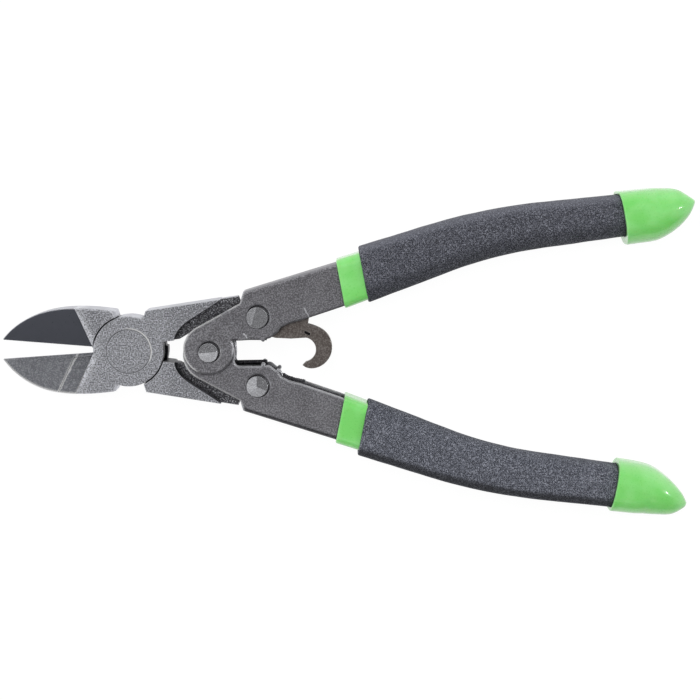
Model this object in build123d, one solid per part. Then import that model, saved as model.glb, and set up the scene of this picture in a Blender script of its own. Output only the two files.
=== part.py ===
from build123d import *
import os
from math import acos, atan2, cos, degrees, hypot, radians, sin

# A compound-leverage side cutter, lying flat and open.
# X runs from the jaws to the handles, Y across the tool, Z up.
# The origin is on the jaw pivot's axis, in the rear flat face of the joint.

# Linkage, in the open pose
JAW_HALF_OPENING = 4.25      # each jaw's turn from closed, degrees
HINGE_X = 29.0               # handle pivot from the jaw pivot
ARM_PIN_X = 46.3             # arm pins from the jaw pivot
ARM_PIN_Y = 12.47            # arm pins from the tool's axis

# Forged jaw blanks
HEAD_HALF = 6.0              # half the joint's thickness
TONGUE_HALF = 2.4            # half the thin arm's thickness
JAW_LENGTH = 46.2            # jaw pivot to tip
JAW_DEPTH = 14.4             # cutting edge to spine
THROAT_X = 13.0              # jaw pivot to the back of the cutting edge
BEVEL_END_X = 20.4           # where the bevel runs out at the spine
BEVEL_RISE = 0.40            # bevel's rise for each millimetre from the edge
BEVEL_BAND = 6.2             # width of the deeper band beside the joint face
BAND_STEP = 0.3              # the band's step below the bevel
BAND_MARGIN = 1.2            # the band stops this far from the edge
BROW_THROAT = 3.0            # width of the eased brow beside the bevel, at the throat
BROW_SPINE = 0.3             # and at the spine
BROW_SLOPE = 36.0            # brow's slope from the joint face, degrees
SHOULDER_FACET = 0.9         # width of the facet on the jaw's shoulder
SHOULDER_SLOPE = 58.0        # its slope, degrees
EDGE_LAND = 0.1              # thickness of the cutting edge
BLUNT_TIP = 0.4              # width of the jaw's tip
EDGE_GAP = 0.04              # each edge's distance from the axis when closed
FACE_CHAMFER = 0.3
SPINE_CHAMFER = 0.6
DISC_RADIUS = 12.7           # lap disc
DISC_CLEARANCE = 0.35
LAP_CLEARANCE = 0.04         # between the two lap faces
ARM_ROOT_X = 7.4             # outer corner of the arm beside the joint
ARM_ROOT_Y = 14.15
ARM_CORNER_X = 40.67         # outer corner of the thin arm
ARM_CORNER_Y = 16.86
ARM_HEEL = (0.6, 2.3)        # from that corner to the next, along X and inward
EYE_RADIUS = 7.0
SPINE_INSETS = [(-40.2, 7.7), (-31.0, 2.6), (-20.4, 0.4), (-13.0, 0.05)]
SHOULDER = (-5.9, 0.3)       # as the insets above: X, and how far inside the full depth
NECK = [(-4.7, -11.2), (-3.0, -5.0)]
ARM_INNER = [(12.2, 2.6), (18.4, 2.9), (22.2, 4.8), (29.3, 7.75)]
ARM_ROOT = [(6.9, 2.6), (6.2, 11.3)]
STEP_LINE = [(16.5, 2.0), (17.6, 5.2), (20.2, 8.1), (24.2, 10.6), (29.0, 13.2), (36.0, 17.4)]

# Rivets and what turns on them
JOINT_PIN_RADIUS = 8.0
SHANK_RADIUS = 2.8
ARM_HEAD_RADIUS = 3.8
PIVOT_HEAD_RADIUS = 3.45
RIVET_HEAD_HEIGHT = 1.25
DIE_MARK_WIDTH = 0.45        # groove that the heading die leaves round a rivet head
DIE_MARK_DEPTH = 0.4
DIE_MARK_SHIFT = (0.32, 0.26)
RUNNING_CLEARANCE = 0.06     # radial
SEAT_CLEARANCE = 0.02        # radial, between parts that don't turn
HINGE_SLACK = 0.2            # radial play of the lower handle on its pivot
BUSH_RADIUS = 4.0
WASHER_RADIUS = 5.0

# Pressed handle channels
SHEET = 2.0
CHANNEL_HALF_GAP = 4.55      # half the distance between the plates
BEND_RADIUS = 1.9
UPPER_NOSE_RADIUS = 9.0
LOWER_NOSE_RADIUS = 9.3
NOSE_RISE = 1.1              # nose's centre from the pivot, towards the channel's own side
EAR_CLEARANCE = 0.1          # between the nested ears
JOGGLE_END = 14.4            # from the handle pivot, along the line to the arm pin
JOGGLE_LENGTH = 2.6
WEB_FRONT_X = 41.3
UPPER_INNER_Y = 4.4          # inner edge of the plates beside the pivot
LOWER_INNER_Y = 5.2
CHIN_FILLET = 2.0            # where the lower nose runs into that edge
CHIN_END_X = 47.2
PLATE_LOBE = [(50.2, 4.9), (52.6, 6.4), (54.2, 7.8)]
LOBE_HEADINGS = [(1, 0.1), (0.4, 1)]
PLATE_STEP = [(54.9, 9.0), (57.8, 10.4), (62.3, 11.6)]
CHEEK = (1.1, 4.0)           # slanted front's lower end, from the web's front
NIB_RADIUS = 0.72            # nibs that the press leaves on the plates' inner edge
STOP_NIB = (48.5, 4.55)
SIDE_NIB = (53.9, 6.85)

# Handle's course, followed by its outer and its inner edge
OUTER_START = (43.6, 22.3)
OUTER_HEADINGS = (17.3, 5.8)
OUTER_BEND_X = 108.0
OUTER_BEND_RADIUS = 214.0
INNER_START = (76.2, 16.3)
INNER_HEADINGS = (21.0, 8.3)
INNER_BEND_X = 115.0
INNER_BEND_RADIUS = 154.0
CHANNEL_END_X = 188.0

# Grips
LINER_WALL = 1.2
SLEEVE_WALL_OUTER = 1.8      # over the web
SLEEVE_WALL_INNER = 1.2      # over the channel's open side
LINER_CORNER = 2.0           # corner radii on the channel's open side
SLEEVE_CORNER = 4.4
CAP_WALL = 1.7
CAP_WALL_INNER = 2.5
GRIP_CLEARANCE = 0.05
CUT_LEAN = 11.0              # lean of the grips' ends, degrees
LINER_FRONT_X = 76.1
SLEEVE_FRONT_X = 84.5
GRIP_LEAD = 9.6              # from the start of the inner edge back to where grips are cut off
SLEEVE_SHORT = 1.5           # sleeve's and liner's end, short of the channel's end
CAP_GRIP = 10.7              # cap's reach back from the channel's end
CAP_FLOOR = 2.0              # gap between the channel's end and the cap's floor
CAP_SHOULDER = (9.4, 0.5)    # cut's start: from the channel's end, and below the outer edge
CAP_CHEEK = (15.2, 3.8)      # cut's end, in the same way
CAP_TIP = (15.8, 5.3)
CAP_BELLY = [(12.8, 10.2), (8.1, 15.1), (1.5, 18.4)]
CAP_BELLY_REACH = 5.0        # from the channel's end back to where the belly starts
CAP_EASE = 14.0              # length over which the nose thins
CAP_NOSE_HALF = 4.0          # half the cap's thickness at its tip
CAP_EDGE_RADIUS = 1.4

# Latch
HOOK_SHEET = 1.8
WAVE_WASHER = 0.25
HOOK_EYE_RADIUS = 5.4
HOOK_BOWL_CENTRE = (63.0, 0.74)
HOOK_BOWL_RADIUS = 4.42
HOOK_WINDOW_X = 50.2         # window in the lower web that the latched hook reaches into
HOOK_WINDOW_LENGTH = 14.8
HOOK_WINDOW_MARGIN = 0.35
HOOK_UNDER = [(52.8, 4.95), (58.5, 4.7)]
HOOK_BACK = [(6.5, -82.5), (8.4, -47.5), (10.15, -2.5), (10.25, 38), (9.75, 58)]
HOOK_TIP = (5.63, -94)       # radius and angle about the bowl, as for the back
HOOK_NAPE = (9.58, 80.5)
HOOK_SHOULDER = (11.65, 80.5)
HOOK_MOUTH = 79              # the bowl's ends, degrees above and below its middle
SLOT_PLACE = (6.1, 78)
SLOT_SIZE = (2.4, 1.0)
SLOT_TURN = -25
SLOT_DEPTH = 1.1

# Opening spring
WIRE_RADIUS = 0.8
COIL_RADIUS = 5.0            # to the middle of the wire
COIL_TURNS = 2               # whole turns, besides the part turn between the legs
COIL_GAP = 0.04              # between the coil's turns
UPPER_LEG_Z = 1.5
LEG_END_X = 49.6

# Sizes that follow from the ones above
NEAR = 1e-3                  # two places closer than this are one
reach = 2 * CHANNEL_END_X    # longer than any piece, for cutters
channel_half = CHANNEL_HALF_GAP + SHEET
ear_half = channel_half + EAR_CLEARANCE + SHEET
hook_low = TONGUE_HALF + 2 * SEAT_CLEARANCE
hook_high = hook_low + HOOK_SHEET
coil_pitch = 2 * WIRE_RADIUS + COIL_GAP
hinge = (HINGE_X, 0.0)
upper_pin = (ARM_PIN_X, ARM_PIN_Y)
lower_pin = (ARM_PIN_X, -ARM_PIN_Y)
pin_bearing = degrees(atan2(ARM_PIN_Y, ARM_PIN_X - HINGE_X))
grip_end_x = CHANNEL_END_X - SLEEVE_SHORT
cap_front_x = CHANNEL_END_X - CAP_GRIP
liner_half = channel_half + LINER_WALL
sleeve_half = liner_half + SLEEVE_WALL_OUTER
cap_half = sleeve_half + CAP_WALL


def turned(point, angle):
    """Return a plan point turned about the jaw pivot."""
    c, s = cos(radians(angle)), sin(radians(angle))
    return (c * point[0] - s * point[1], s * point[0] + c * point[1])


def polar(centre, radius, angle):
    """Return the point at a radius and angle from a centre."""
    return (centre[0] + radius * cos(radians(angle)), centre[1] + radius * sin(radians(angle)))


def touch(point, centre, radius, side):
    """Return where a line from a point touches a circle; side is +1 or -1."""
    dx, dy = point[0] - centre[0], point[1] - centre[1]
    spread = degrees(acos(radius / hypot(dx, dy)))
    return polar(centre, radius, degrees(atan2(dy, dx)) + side * spread)


def slab(face, low, high):
    """Extrude a plan face from one height to another."""
    return Pos(0, 0, low) * extrude(face, amount=high - low)


def post(radius, low, high, centre=(0.0, 0.0)):
    """Make an upright round bar."""
    return Pos(centre[0], centre[1], (low + high) / 2) * Cylinder(radius, high - low)


def ring(outer, inner, low, high, centre):
    """Make an upright tube or washer."""
    return post(outer, low, high, centre) - post(inner, low - 1, high + 1, centre)


def turned_over(shape):
    """Turn a piece over, end to end unchanged, to serve on the other side."""
    return Rot(X=180) * shape


def mirrored(shape):
    """Mirror a handle piece to the other side of the tool's axis."""
    return mirror(shape, about=Plane.XZ)


def save(node, shape):
    """Write one sub-part, with the joint's rear face at height zero."""
    export_step(Pos(0, 0, HEAD_HALF) * shape, f"parts/{node}.step")


# Jaw blank: lower jaw and upper arm, drawn closed with its edge on the axis

closed_pin = turned(upper_pin, -JAW_HALF_OPENING)


def jaw_plan():
    """Plan of the jaw, from its tip along the spine to its shoulder."""
    tip = (-JAW_LENGTH, -EDGE_GAP)
    blunt = (-JAW_LENGTH, -BLUNT_TIP)
    course = [(x, inset - JAW_DEPTH) for x, inset in SPINE_INSETS + [SHOULDER]]
    spine = Spline(blunt, *course)
    closing = Polyline(course[-1], *NECK, (NECK[-1][0], -EDGE_GAP), tip, blunt)
    return make_face([spine.edge()] + closing.edges())


def arm_plan():
    """Plan of the arm, from the joint to the eye round its pin."""
    corner = (ARM_CORNER_X, ARM_CORNER_Y)
    heel = (ARM_CORNER_X + ARM_HEEL[0], ARM_CORNER_Y - ARM_HEEL[1])
    over_eye = touch(heel, closed_pin, EYE_RADIUS, -1)
    under_eye = touch(ARM_INNER[-1], closed_pin, EYE_RADIUS, 1)
    root = ARM_ROOT + [(ARM_ROOT_X, ARM_ROOT_Y)]
    outline = root + [corner, heel, over_eye, closed_pin, under_eye] + ARM_INNER[::-1]
    arm = make_face(Polyline(*outline, close=True))
    return arm + Pos(*closed_pin) * Circle(EYE_RADIUS)


def tongue_cut(side):
    """Waste above the thin part of the arm, bounded by the curved step."""
    step = Spline(*STEP_LINE)
    first, last = STEP_LINE[0], STEP_LINE[-1]
    corners = [(last[0], reach), (reach, reach), (reach, -reach), (first[0], -reach)]
    around = Polyline(last, *corners, first)
    waste = slab(make_face([step.edge()] + around.edges()), TONGUE_HALF, 2 * HEAD_HALF)
    return waste if side > 0 else mirror(waste, about=Plane.XY)


def ground_off(start, end, slope):
    """Waste above a slope that falls away to the right of a line drawn on the joint face."""
    bearing = degrees(atan2(end[1] - start[1], end[0] - start[0]))
    block = Pos(0, -reach / 2, reach / 2) * Box(reach, reach, reach)
    return Pos(*start, HEAD_HALF) * Rot(Z=bearing) * Rot(X=slope) * block


def bevel_cut(side):
    """Waste above the cutting bevel, ended by the steep wall of the joint face."""
    floor = EDGE_LAND / 2
    far = 2 * JAW_DEPTH
    high = HEAD_HALF + BEVEL_RISE * far
    flat = [(far, high), (far, floor), (0, floor)]
    slope = Polyline(*flat, (-far, floor + BEVEL_RISE * far), (-far, high), close=True)
    wedge = Pos(-2 * JAW_LENGTH, 0, 0) * extrude(Plane.YZ * make_face(slope), amount=2 * JAW_LENGTH)
    throat, spine = (-THROAT_X, 0.0), (-BEVEL_END_X, -JAW_DEPTH)
    wall = degrees(atan2(spine[1] - throat[1], spine[0] - throat[0]))
    beyond = Pos(*throat) * Rot(Z=wall) * Pos(0, reach / 2, 0) * Box(reach, reach, reach)
    waste = wedge - beyond
    brow_end = (spine[0] + BROW_SPINE, spine[1])
    waste += ground_off((throat[0] + BROW_THROAT, throat[1]), brow_end, BROW_SLOPE) & beyond
    if side > 0:
        strip = Pos(*throat) * Rot(Z=wall) * Pos(0, -BEVEL_BAND / 2, 0) * Box(reach, BEVEL_BAND, reach)
        inside = Pos(0, -far / 2 - BAND_MARGIN, 0) * Box(reach, far, reach)
        waste += Pos(0, 0, -BAND_STEP) * wedge & strip & inside
    waste += shoulder_cut()
    return waste if side > 0 else mirror(waste, about=Plane.XY)


def shoulder_cut():
    """Waste above the facet that eases the jaw's shoulder beside the joint."""
    top = (SHOULDER[0] - SHOULDER_FACET, SHOULDER[1] - JAW_DEPTH)
    low = (NECK[0][0] - SHOULDER_FACET, NECK[0][1])
    return ground_off(top, low, SHOULDER_SLOPE)


def on_spine(edge):
    """Tell whether an edge runs along the spine at the height of a joint face."""
    middle = edge.center()
    return abs(abs(middle.Z) - HEAD_HALF) < NEAR and middle.Y < SPINE_CHAMFER - JAW_DEPTH


def make_blank():
    """Forge one blank: jaw, lap disc on the +Z half, and arm."""
    jaw = slab(jaw_plan(), -HEAD_HALF, HEAD_HALF)
    jaw -= bevel_cut(1)
    jaw -= bevel_cut(-1)
    jaw = chamfer([e for e in jaw.edges() if on_spine(e)], SPINE_CHAMFER)
    arm = slab(arm_plan(), -HEAD_HALF, HEAD_HALF)
    arm -= tongue_cut(1)
    arm -= tongue_cut(-1)
    lap = LAP_CLEARANCE / 2
    body = jaw + arm
    body -= post(DISC_RADIUS + DISC_CLEARANCE, -HEAD_HALF - 1, lap)
    disc = post(DISC_RADIUS, lap, HEAD_HALF)
    disc = chamfer(disc.edges().group_by(Axis.Z)[-1], FACE_CHAMFER)
    body += disc
    body -= post(SHANK_RADIUS + RUNNING_CLEARANCE, -HEAD_HALF, HEAD_HALF, closed_pin)
    return body


blank = make_blank()
front_hole = post(JOINT_PIN_RADIUS + SEAT_CLEARANCE, -HEAD_HALF - 1, HEAD_HALF + 1)
rear_hole = post(JOINT_PIN_RADIUS + RUNNING_CLEARANCE, -HEAD_HALF - 1, HEAD_HALF + 1)
front_jaw = Rot(Z=JAW_HALF_OPENING) * (blank - front_hole)
rear_jaw = Rot(Z=-JAW_HALF_OPENING) * turned_over(blank - rear_hole)
joint_pin = post(JOINT_PIN_RADIUS, -HEAD_HALF, HEAD_HALF)
joint_rivet = chamfer(joint_pin.edges().filter_by(GeomType.CIRCLE), FACE_CHAMFER)


# Handle channels: drawn for the upper handle, mirrored for the lower one


def rail(start, headings, bend_x, bend_radius, end_x, shift):
    """Return line, arc and line of a handle edge, shifted outward from the tool's axis."""
    into, out = headings
    ahead = bend_x - start[0]
    bend = (bend_x, start[1] + ahead * sin(radians(into)) / cos(radians(into)))
    centre = polar(bend, bend_radius, into - 90)
    first = polar(start, shift, into + 90)
    bend_in = polar(centre, bend_radius + shift, into + 90)
    bend_mid = polar(centre, bend_radius + shift, (into + out) / 2 + 90)
    bend_out = polar(centre, bend_radius + shift, out + 90)
    after = end_x - bend_out[0]
    last = (end_x, bend_out[1] + after * sin(radians(out)) / cos(radians(out)))
    return [first, bend_in, bend_mid, bend_out, last]


def rail_edges(points):
    """Join a rail's five points with a line, an arc and a line."""
    first, bend_in, bend_mid, bend_out, last = points
    arc = ThreePointArc(bend_in, bend_mid, bend_out)
    return [Line(first, bend_in).edge(), arc.edge(), Line(bend_out, last).edge()]


def outer_rail(shift, end_x):
    """Points of the handle's outer edge."""
    return rail(OUTER_START, OUTER_HEADINGS, OUTER_BEND_X, OUTER_BEND_RADIUS, end_x, shift)


def inner_rail(shift, end_x):
    """Points of the handle's inner edge."""
    return rail(INNER_START, INNER_HEADINGS, INNER_BEND_X, INNER_BEND_RADIUS, end_x, -shift)


def rail_y(points, x):
    """Distance of a rail from the tool's axis at a station, taken along its chords."""
    for start, end in zip(points, points[1:]):
        if x <= end[0]:
            break
    return start[1] + (x - start[0]) * (end[1] - start[1]) / (end[0] - start[0])


def plate_plan(nose_radius, inner_y, chin_fillet, nibs):
    """Plan of the channel: nose, slanted front, web line and stepped inner edge."""
    outer = outer_rail(0, CHANNEL_END_X)
    inner = inner_rail(0, CHANNEL_END_X)
    web_front = (WEB_FRONT_X, rail_y(outer, WEB_FRONT_X))
    cheek = (web_front[0] - CHEEK[0], web_front[1] - CHEEK[1])
    centre = (HINGE_X, NOSE_RISE)
    brow = touch(cheek, centre, nose_radius, 1)
    chin = (HINGE_X + (nose_radius**2 - (inner_y - NOSE_RISE) ** 2) ** 0.5, inner_y)
    nose = ThreePointArc(brow, (HINGE_X, NOSE_RISE - nose_radius), chin)
    under = Polyline(chin, (CHIN_END_X, inner_y), PLATE_LOBE[0])
    lobe = Spline(*PLATE_LOBE, tangents=LOBE_HEADINGS)
    step = Polyline(PLATE_LOBE[-1], *PLATE_STEP, inner[0])
    front = Polyline(outer[0], web_front, cheek, brow)
    edges = [nose.edge(), lobe.edge(), Line(outer[-1], inner[-1]).edge()]
    edges += under.edges() + step.edges() + front.edges()
    plan = make_face(edges + rail_edges(outer) + rail_edges(inner))
    if chin_fillet > 0:
        plan = fillet(plan.vertices().sort_by_distance(chin)[0], chin_fillet)
    for nib in nibs:
        plan += Pos(*nib) * Circle(NIB_RADIUS)
    return plan


def plate_section(offset):
    """Long section of one plate, set outward by an offset short of the joggle."""
    start = JOGGLE_END - JOGGLE_LENGTH
    course = [(-reach, offset), (start, offset), (JOGGLE_END, 0), (reach, 0)]
    inside = [(x, CHANNEL_HALF_GAP + y) for x, y in course]
    outside = [(x, channel_half + y) for x, y in reversed(course)]
    section = Plane.XZ * make_face(Polyline(*inside, *outside, close=True))
    prism = extrude(section, amount=reach, both=True)
    return Pos(HINGE_X, 0, 0) * Rot(Z=pin_bearing) * prism


def web_plan():
    """Plan of the web along the outer edge."""
    outer = outer_rail(0, CHANNEL_END_X)
    inner = outer_rail(-SHEET, CHANNEL_END_X)
    lead = (outer[0][0] - WEB_FRONT_X) / cos(radians(OUTER_HEADINGS[0]))
    front = polar(outer[0], lead, OUTER_HEADINGS[0] + 180)
    back = polar(inner[0], lead, OUTER_HEADINGS[0] + 180)
    ends = Polyline(outer[0], front, back, inner[0])
    edges = ends.edges() + rail_edges(outer) + rail_edges(inner)
    return make_face(edges + [Line(outer[-1], inner[-1]).edge()])


def make_channel(plan, ear_offset, hinge_hole):
    """Press one channel: two plates, the web between them, and its rivet holes."""
    sides = slab(plan, -ear_half - 1, ear_half + 1)
    plate = sides & plate_section(ear_offset)
    channel = plate + mirror(plate, about=Plane.XY)
    channel += slab(web_plan(), -channel_half, channel_half)
    back = [e for e in channel.edges() if on_outer_bend(e)]
    channel = fillet(back, BEND_RADIUS)
    channel -= post(hinge_hole, -ear_half - 1, ear_half + 1, hinge)
    channel -= post(SHANK_RADIUS + SEAT_CLEARANCE, -ear_half - 1, ear_half + 1, upper_pin)
    return channel


def on_outer_bend(edge):
    """Tell whether an edge runs along the outer corner between web and plate."""
    middle = edge.center(CenterOf.MASS)
    along = edge.length > 2 * SHEET
    level = abs(abs(middle.Z) - channel_half) < NEAR
    on_rail = abs(middle.Y - rail_y(outer_rail(0, CHANNEL_END_X), middle.X)) < SHEET / 2
    return along and level and on_rail


def hook_window():
    """Window in the web for the back of the latched hook, drawn on the upper side."""
    length = HOOK_WINDOW_LENGTH
    height = hook_high - hook_low + 2 * HOOK_WINDOW_MARGIN
    pane = Box(length, 4 * SHEET, height)
    pane = fillet(pane.edges().filter_by(Axis.Y), height / 3)
    on_web = (HOOK_WINDOW_X, rail_y(outer_rail(0, CHANNEL_END_X), HOOK_WINDOW_X) - SHEET / 2)
    return Pos(*on_web, (hook_low + hook_high) / 2) * Rot(Z=OUTER_HEADINGS[0]) * pane


def die_mark(centre, head_radius, height, shift):
    """Groove that the heading die leaves beside a rivet head, off centre by a shift."""
    across = (centre[0] + shift[0], centre[1] + shift[1])
    mark = post(head_radius + DIE_MARK_WIDTH, height - DIE_MARK_DEPTH, height + 1, across)
    return mark - post(head_radius, height - 1, height + 2, centre)


shank_hole = SHANK_RADIUS + SEAT_CLEARANCE
upper_plan = plate_plan(UPPER_NOSE_RADIUS, UPPER_INNER_Y, 0, [STOP_NIB])
lower_plan = plate_plan(LOWER_NOSE_RADIUS, LOWER_INNER_Y, CHIN_FILLET, [STOP_NIB, SIDE_NIB])
upper_channel = make_channel(upper_plan, SHEET + EAR_CLEARANCE, shank_hole)
upper_channel -= die_mark(hinge, PIVOT_HEAD_RADIUS, ear_half, DIE_MARK_SHIFT)
upper_channel -= die_mark(upper_pin, ARM_HEAD_RADIUS, channel_half, DIE_MARK_SHIFT)
lower_channel = mirrored(make_channel(lower_plan, 0, SHANK_RADIUS + HINGE_SLACK))
lower_channel -= mirrored(hook_window())
lower_channel -= die_mark(lower_pin, ARM_HEAD_RADIUS, channel_half, DIE_MARK_SHIFT)


# Rivets, bush and washers


def facet(bearing, offset, slope):
    """Waste over one hammered facet of a rivet head, in the head's own frame."""
    block = Pos(reach / 2, 0, reach / 2) * Box(reach, reach, reach)
    return Rot(Z=bearing) * Pos(offset, 0, RIVET_HEAD_HEIGHT) * Rot(Y=slope) * block


def make_rivet(centre, half, radius, facets):
    """Head a shank on both sides; the front head is hammered into facets."""
    head = post(radius, 0, RIVET_HEAD_HEIGHT)
    for bearing, offset, slope in facets:
        head -= facet(bearing, offset, slope)
    front = Pos(*centre, half) * head
    rear_head = post(radius, 0, RIVET_HEAD_HEIGHT)
    rear_head = chamfer(rear_head.edges().group_by(Axis.Z)[-1], RIVET_HEAD_HEIGHT / 2)
    rear = Pos(*centre, -half) * turned_over(rear_head)
    return post(SHANK_RADIUS, -half, half, centre) + front + rear


two_flats = [(95, 0.2, 7), (-85, -0.2, 12)]
side_flat = [(165, 1.3, 22), (-15, -1.3, 5)]
three_flats = [(155, 0, 15), (275, 0, 15), (35, 0, 12)]
handle_pivot_rivet = make_rivet(hinge, ear_half, PIVOT_HEAD_RADIUS, two_flats)
upper_arm_rivet = make_rivet(upper_pin, channel_half, ARM_HEAD_RADIUS, side_flat)
lower_arm_rivet = make_rivet(lower_pin, channel_half, ARM_HEAD_RADIUS, three_flats)
pivot_bush = ring(
    BUSH_RADIUS,
    SHANK_RADIUS + SEAT_CLEARANCE,
    -CHANNEL_HALF_GAP + GRIP_CLEARANCE,
    CHANNEL_HALF_GAP - GRIP_CLEARANCE,
    hinge,
)
washer_low = -CHANNEL_HALF_GAP + SEAT_CLEARANCE
washer_high = -TONGUE_HALF - SEAT_CLEARANCE
washer_bore = SHANK_RADIUS + SEAT_CLEARANCE
upper_washer = ring(WASHER_RADIUS, washer_bore, washer_low, washer_high, upper_pin)
lower_washer = ring(WASHER_RADIUS, washer_bore, washer_low, washer_high, lower_pin)


# Opening spring: a coil round the bush, one leg against each arm's eye


def spring_leg(side):
    """Return the ends of one leg, from the coil to past the eye that it pushes."""
    pin = (ARM_PIN_X, side * ARM_PIN_Y)
    clear = EYE_RADIUS + WIRE_RADIUS + GRIP_CLEARANCE
    apart = hypot(pin[0] - HINGE_X, pin[1])
    bearing = degrees(atan2(pin[1], pin[0] - HINGE_X))
    lean = degrees(acos((COIL_RADIUS + clear) / apart))
    start = polar(hinge, COIL_RADIUS, bearing + side * lean)
    contact = polar(pin, clear, bearing + side * lean + 180)
    stretch = (LEG_END_X - start[0]) / (contact[0] - start[0])
    return start, (LEG_END_X, start[1] + stretch * (contact[1] - start[1]))


def wire_leg(start, end, height):
    """Make a level wire between two plan points, with a ball where it leaves the coil."""
    path = Line((*start, height), (*end, height))
    wire = sweep(Plane(origin=path @ 0, z_dir=path % 0) * Circle(WIRE_RADIUS), path=path)
    return wire + Pos(*start, height) * Sphere(WIRE_RADIUS + SEAT_CLEARANCE)


def make_spring():
    """Wind the coil and add its two straight legs."""
    upper_start, upper_end = spring_leg(1)
    lower_start, lower_end = spring_leg(-1)
    first = degrees(atan2(lower_start[1], lower_start[0] - HINGE_X))
    last = degrees(atan2(upper_start[1], upper_start[0] - HINGE_X))
    turns = COIL_TURNS + ((first - last) % 360) / 360
    height = turns * coil_pitch
    low = UPPER_LEG_Z - height
    coil = Helix(coil_pitch, height, COIL_RADIUS, lefthand=True)
    wire = sweep(Plane(origin=coil @ 0, z_dir=coil % 0) * Circle(WIRE_RADIUS), path=coil)
    wire = Pos(HINGE_X, 0, low) * Rot(Z=first) * wire
    return wire + wire_leg(upper_start, upper_end, UPPER_LEG_Z) + wire_leg(lower_start, lower_end, low)


opening_spring = make_spring()


# Latch: a flat hook in the gap between the upper arm and the front plate


def hook_plan():
    """Plan of the hook: eye, arm and bowl."""
    bowl = HOOK_BOWL_CENTRE
    root = polar(bowl, HOOK_BOWL_RADIUS, HOOK_MOUTH)
    lip = polar(bowl, HOOK_BOWL_RADIUS, -HOOK_MOUTH)
    inside = ThreePointArc(root, polar(bowl, HOOK_BOWL_RADIUS, 0), lip)
    tip = polar(bowl, *HOOK_TIP)
    nape = polar(bowl, *HOOK_NAPE)
    shoulder = polar(bowl, *HOOK_SHOULDER)
    outside = Spline(tip, *[polar(bowl, *place) for place in HOOK_BACK], nape)
    top = touch(shoulder, upper_pin, HOOK_EYE_RADIUS, 1)
    under = touch(HOOK_UNDER[0], upper_pin, HOOK_EYE_RADIUS, -1)
    outline = Polyline(nape, shoulder, top, upper_pin, under, *HOOK_UNDER, root)
    edges = outline.edges() + [inside.edge(), Line(lip, tip).edge(), outside.edge()]
    return make_face(edges) + Pos(*upper_pin) * Circle(HOOK_EYE_RADIUS)


latch_hook = slab(hook_plan(), hook_low, hook_high)
hook_slot = Pos(*polar(HOOK_BOWL_CENTRE, *SLOT_PLACE)) * Rot(Z=SLOT_TURN) * SlotOverall(*SLOT_SIZE)
latch_hook -= slab(hook_slot, hook_high - SLOT_DEPTH, hook_high + 1)
latch_hook -= post(SHANK_RADIUS + RUNNING_CLEARANCE, hook_low - 1, hook_high + 1, upper_pin)
wave_low = hook_high + SEAT_CLEARANCE
wave_washer = ring(WASHER_RADIUS, washer_bore, wave_low, wave_low + WAVE_WASHER, upper_pin)


# Grips: liner, sleeve and cap, each a shell round the one before


def follows(edge, points):
    """Tell whether both ends of an edge stand on a rail's points."""
    ends = (edge @ 0, edge @ 1)
    return all(any(hypot(end.X - x, end.Y - y) < NEAR for x, y in points) for end in ends)


def grip_body(outer_shift, inner_shift, half, corners):
    """Solid round the channel, as far out as the shifts, its two sides' corners rounded."""
    beyond = CHANNEL_END_X + 2 * CAP_TIP[0]
    outer = outer_rail(outer_shift, beyond)
    inner = inner_rail(inner_shift, beyond)
    back = polar(inner[0], GRIP_LEAD, INNER_HEADINGS[0] + 180)
    ends = Polyline(inner[0], back, outer[0]).edges() + [Line(outer[-1], inner[-1]).edge()]
    body = slab(make_face(rail_edges(outer) + rail_edges(inner) + ends), -half, half)
    for points, corner in zip((outer, inner), corners):
        rims = [e for e in body.edges() if follows(e, points) and abs(e.center().Z) > half - NEAR]
        body = fillet(rims, corner) if corner > 0 else body
    return body


def between(front_x, end_x):
    """Leaning slab of space between two stations, for trimming a grip."""
    rise = sin(radians(CUT_LEAN)) / cos(radians(CUT_LEAN))
    corners = []
    for x, y in ((front_x, -reach), (front_x, reach), (end_x, reach), (end_x, -reach)):
        edges_y = [rail_y(points, x) for points in (outer_rail(0, x), inner_rail(0, x))]
        corners.append((x - (y - sum(edges_y) / 2) * rise, y))
    return slab(make_face(Polyline(*corners, close=True)), -reach, reach)


def shell(outer_shift, inner_shift, half, corners, core_corners, walls, front_x):
    """Trim a grip body to length and hollow it by its wall on every side."""
    over, under = walls
    skin = grip_body(outer_shift, inner_shift, half, corners)
    core = grip_body(
        outer_shift - over + GRIP_CLEARANCE,
        inner_shift - under + GRIP_CLEARANCE,
        half - over + GRIP_CLEARANCE,
        core_corners,
    )
    return (skin - core) & between(front_x, grip_end_x)


channel_corners = (BEND_RADIUS, 0)
liner_corners = (BEND_RADIUS + LINER_WALL, LINER_CORNER)
liner_walls = (LINER_WALL, LINER_WALL)
liner = shell(
    LINER_WALL,
    LINER_WALL,
    liner_half,
    liner_corners,
    channel_corners,
    liner_walls,
    LINER_FRONT_X,
)
sleeve_over = LINER_WALL + SLEEVE_WALL_OUTER
sleeve_under = LINER_WALL + SLEEVE_WALL_INNER
sleeve_corners = (liner_corners[0] + SLEEVE_WALL_OUTER, SLEEVE_CORNER)
sleeve_walls = (SLEEVE_WALL_OUTER, SLEEVE_WALL_INNER)
sleeve = shell(
    sleeve_over,
    sleeve_under,
    sleeve_half,
    sleeve_corners,
    liner_corners,
    sleeve_walls,
    SLEEVE_FRONT_X,
)


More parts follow.
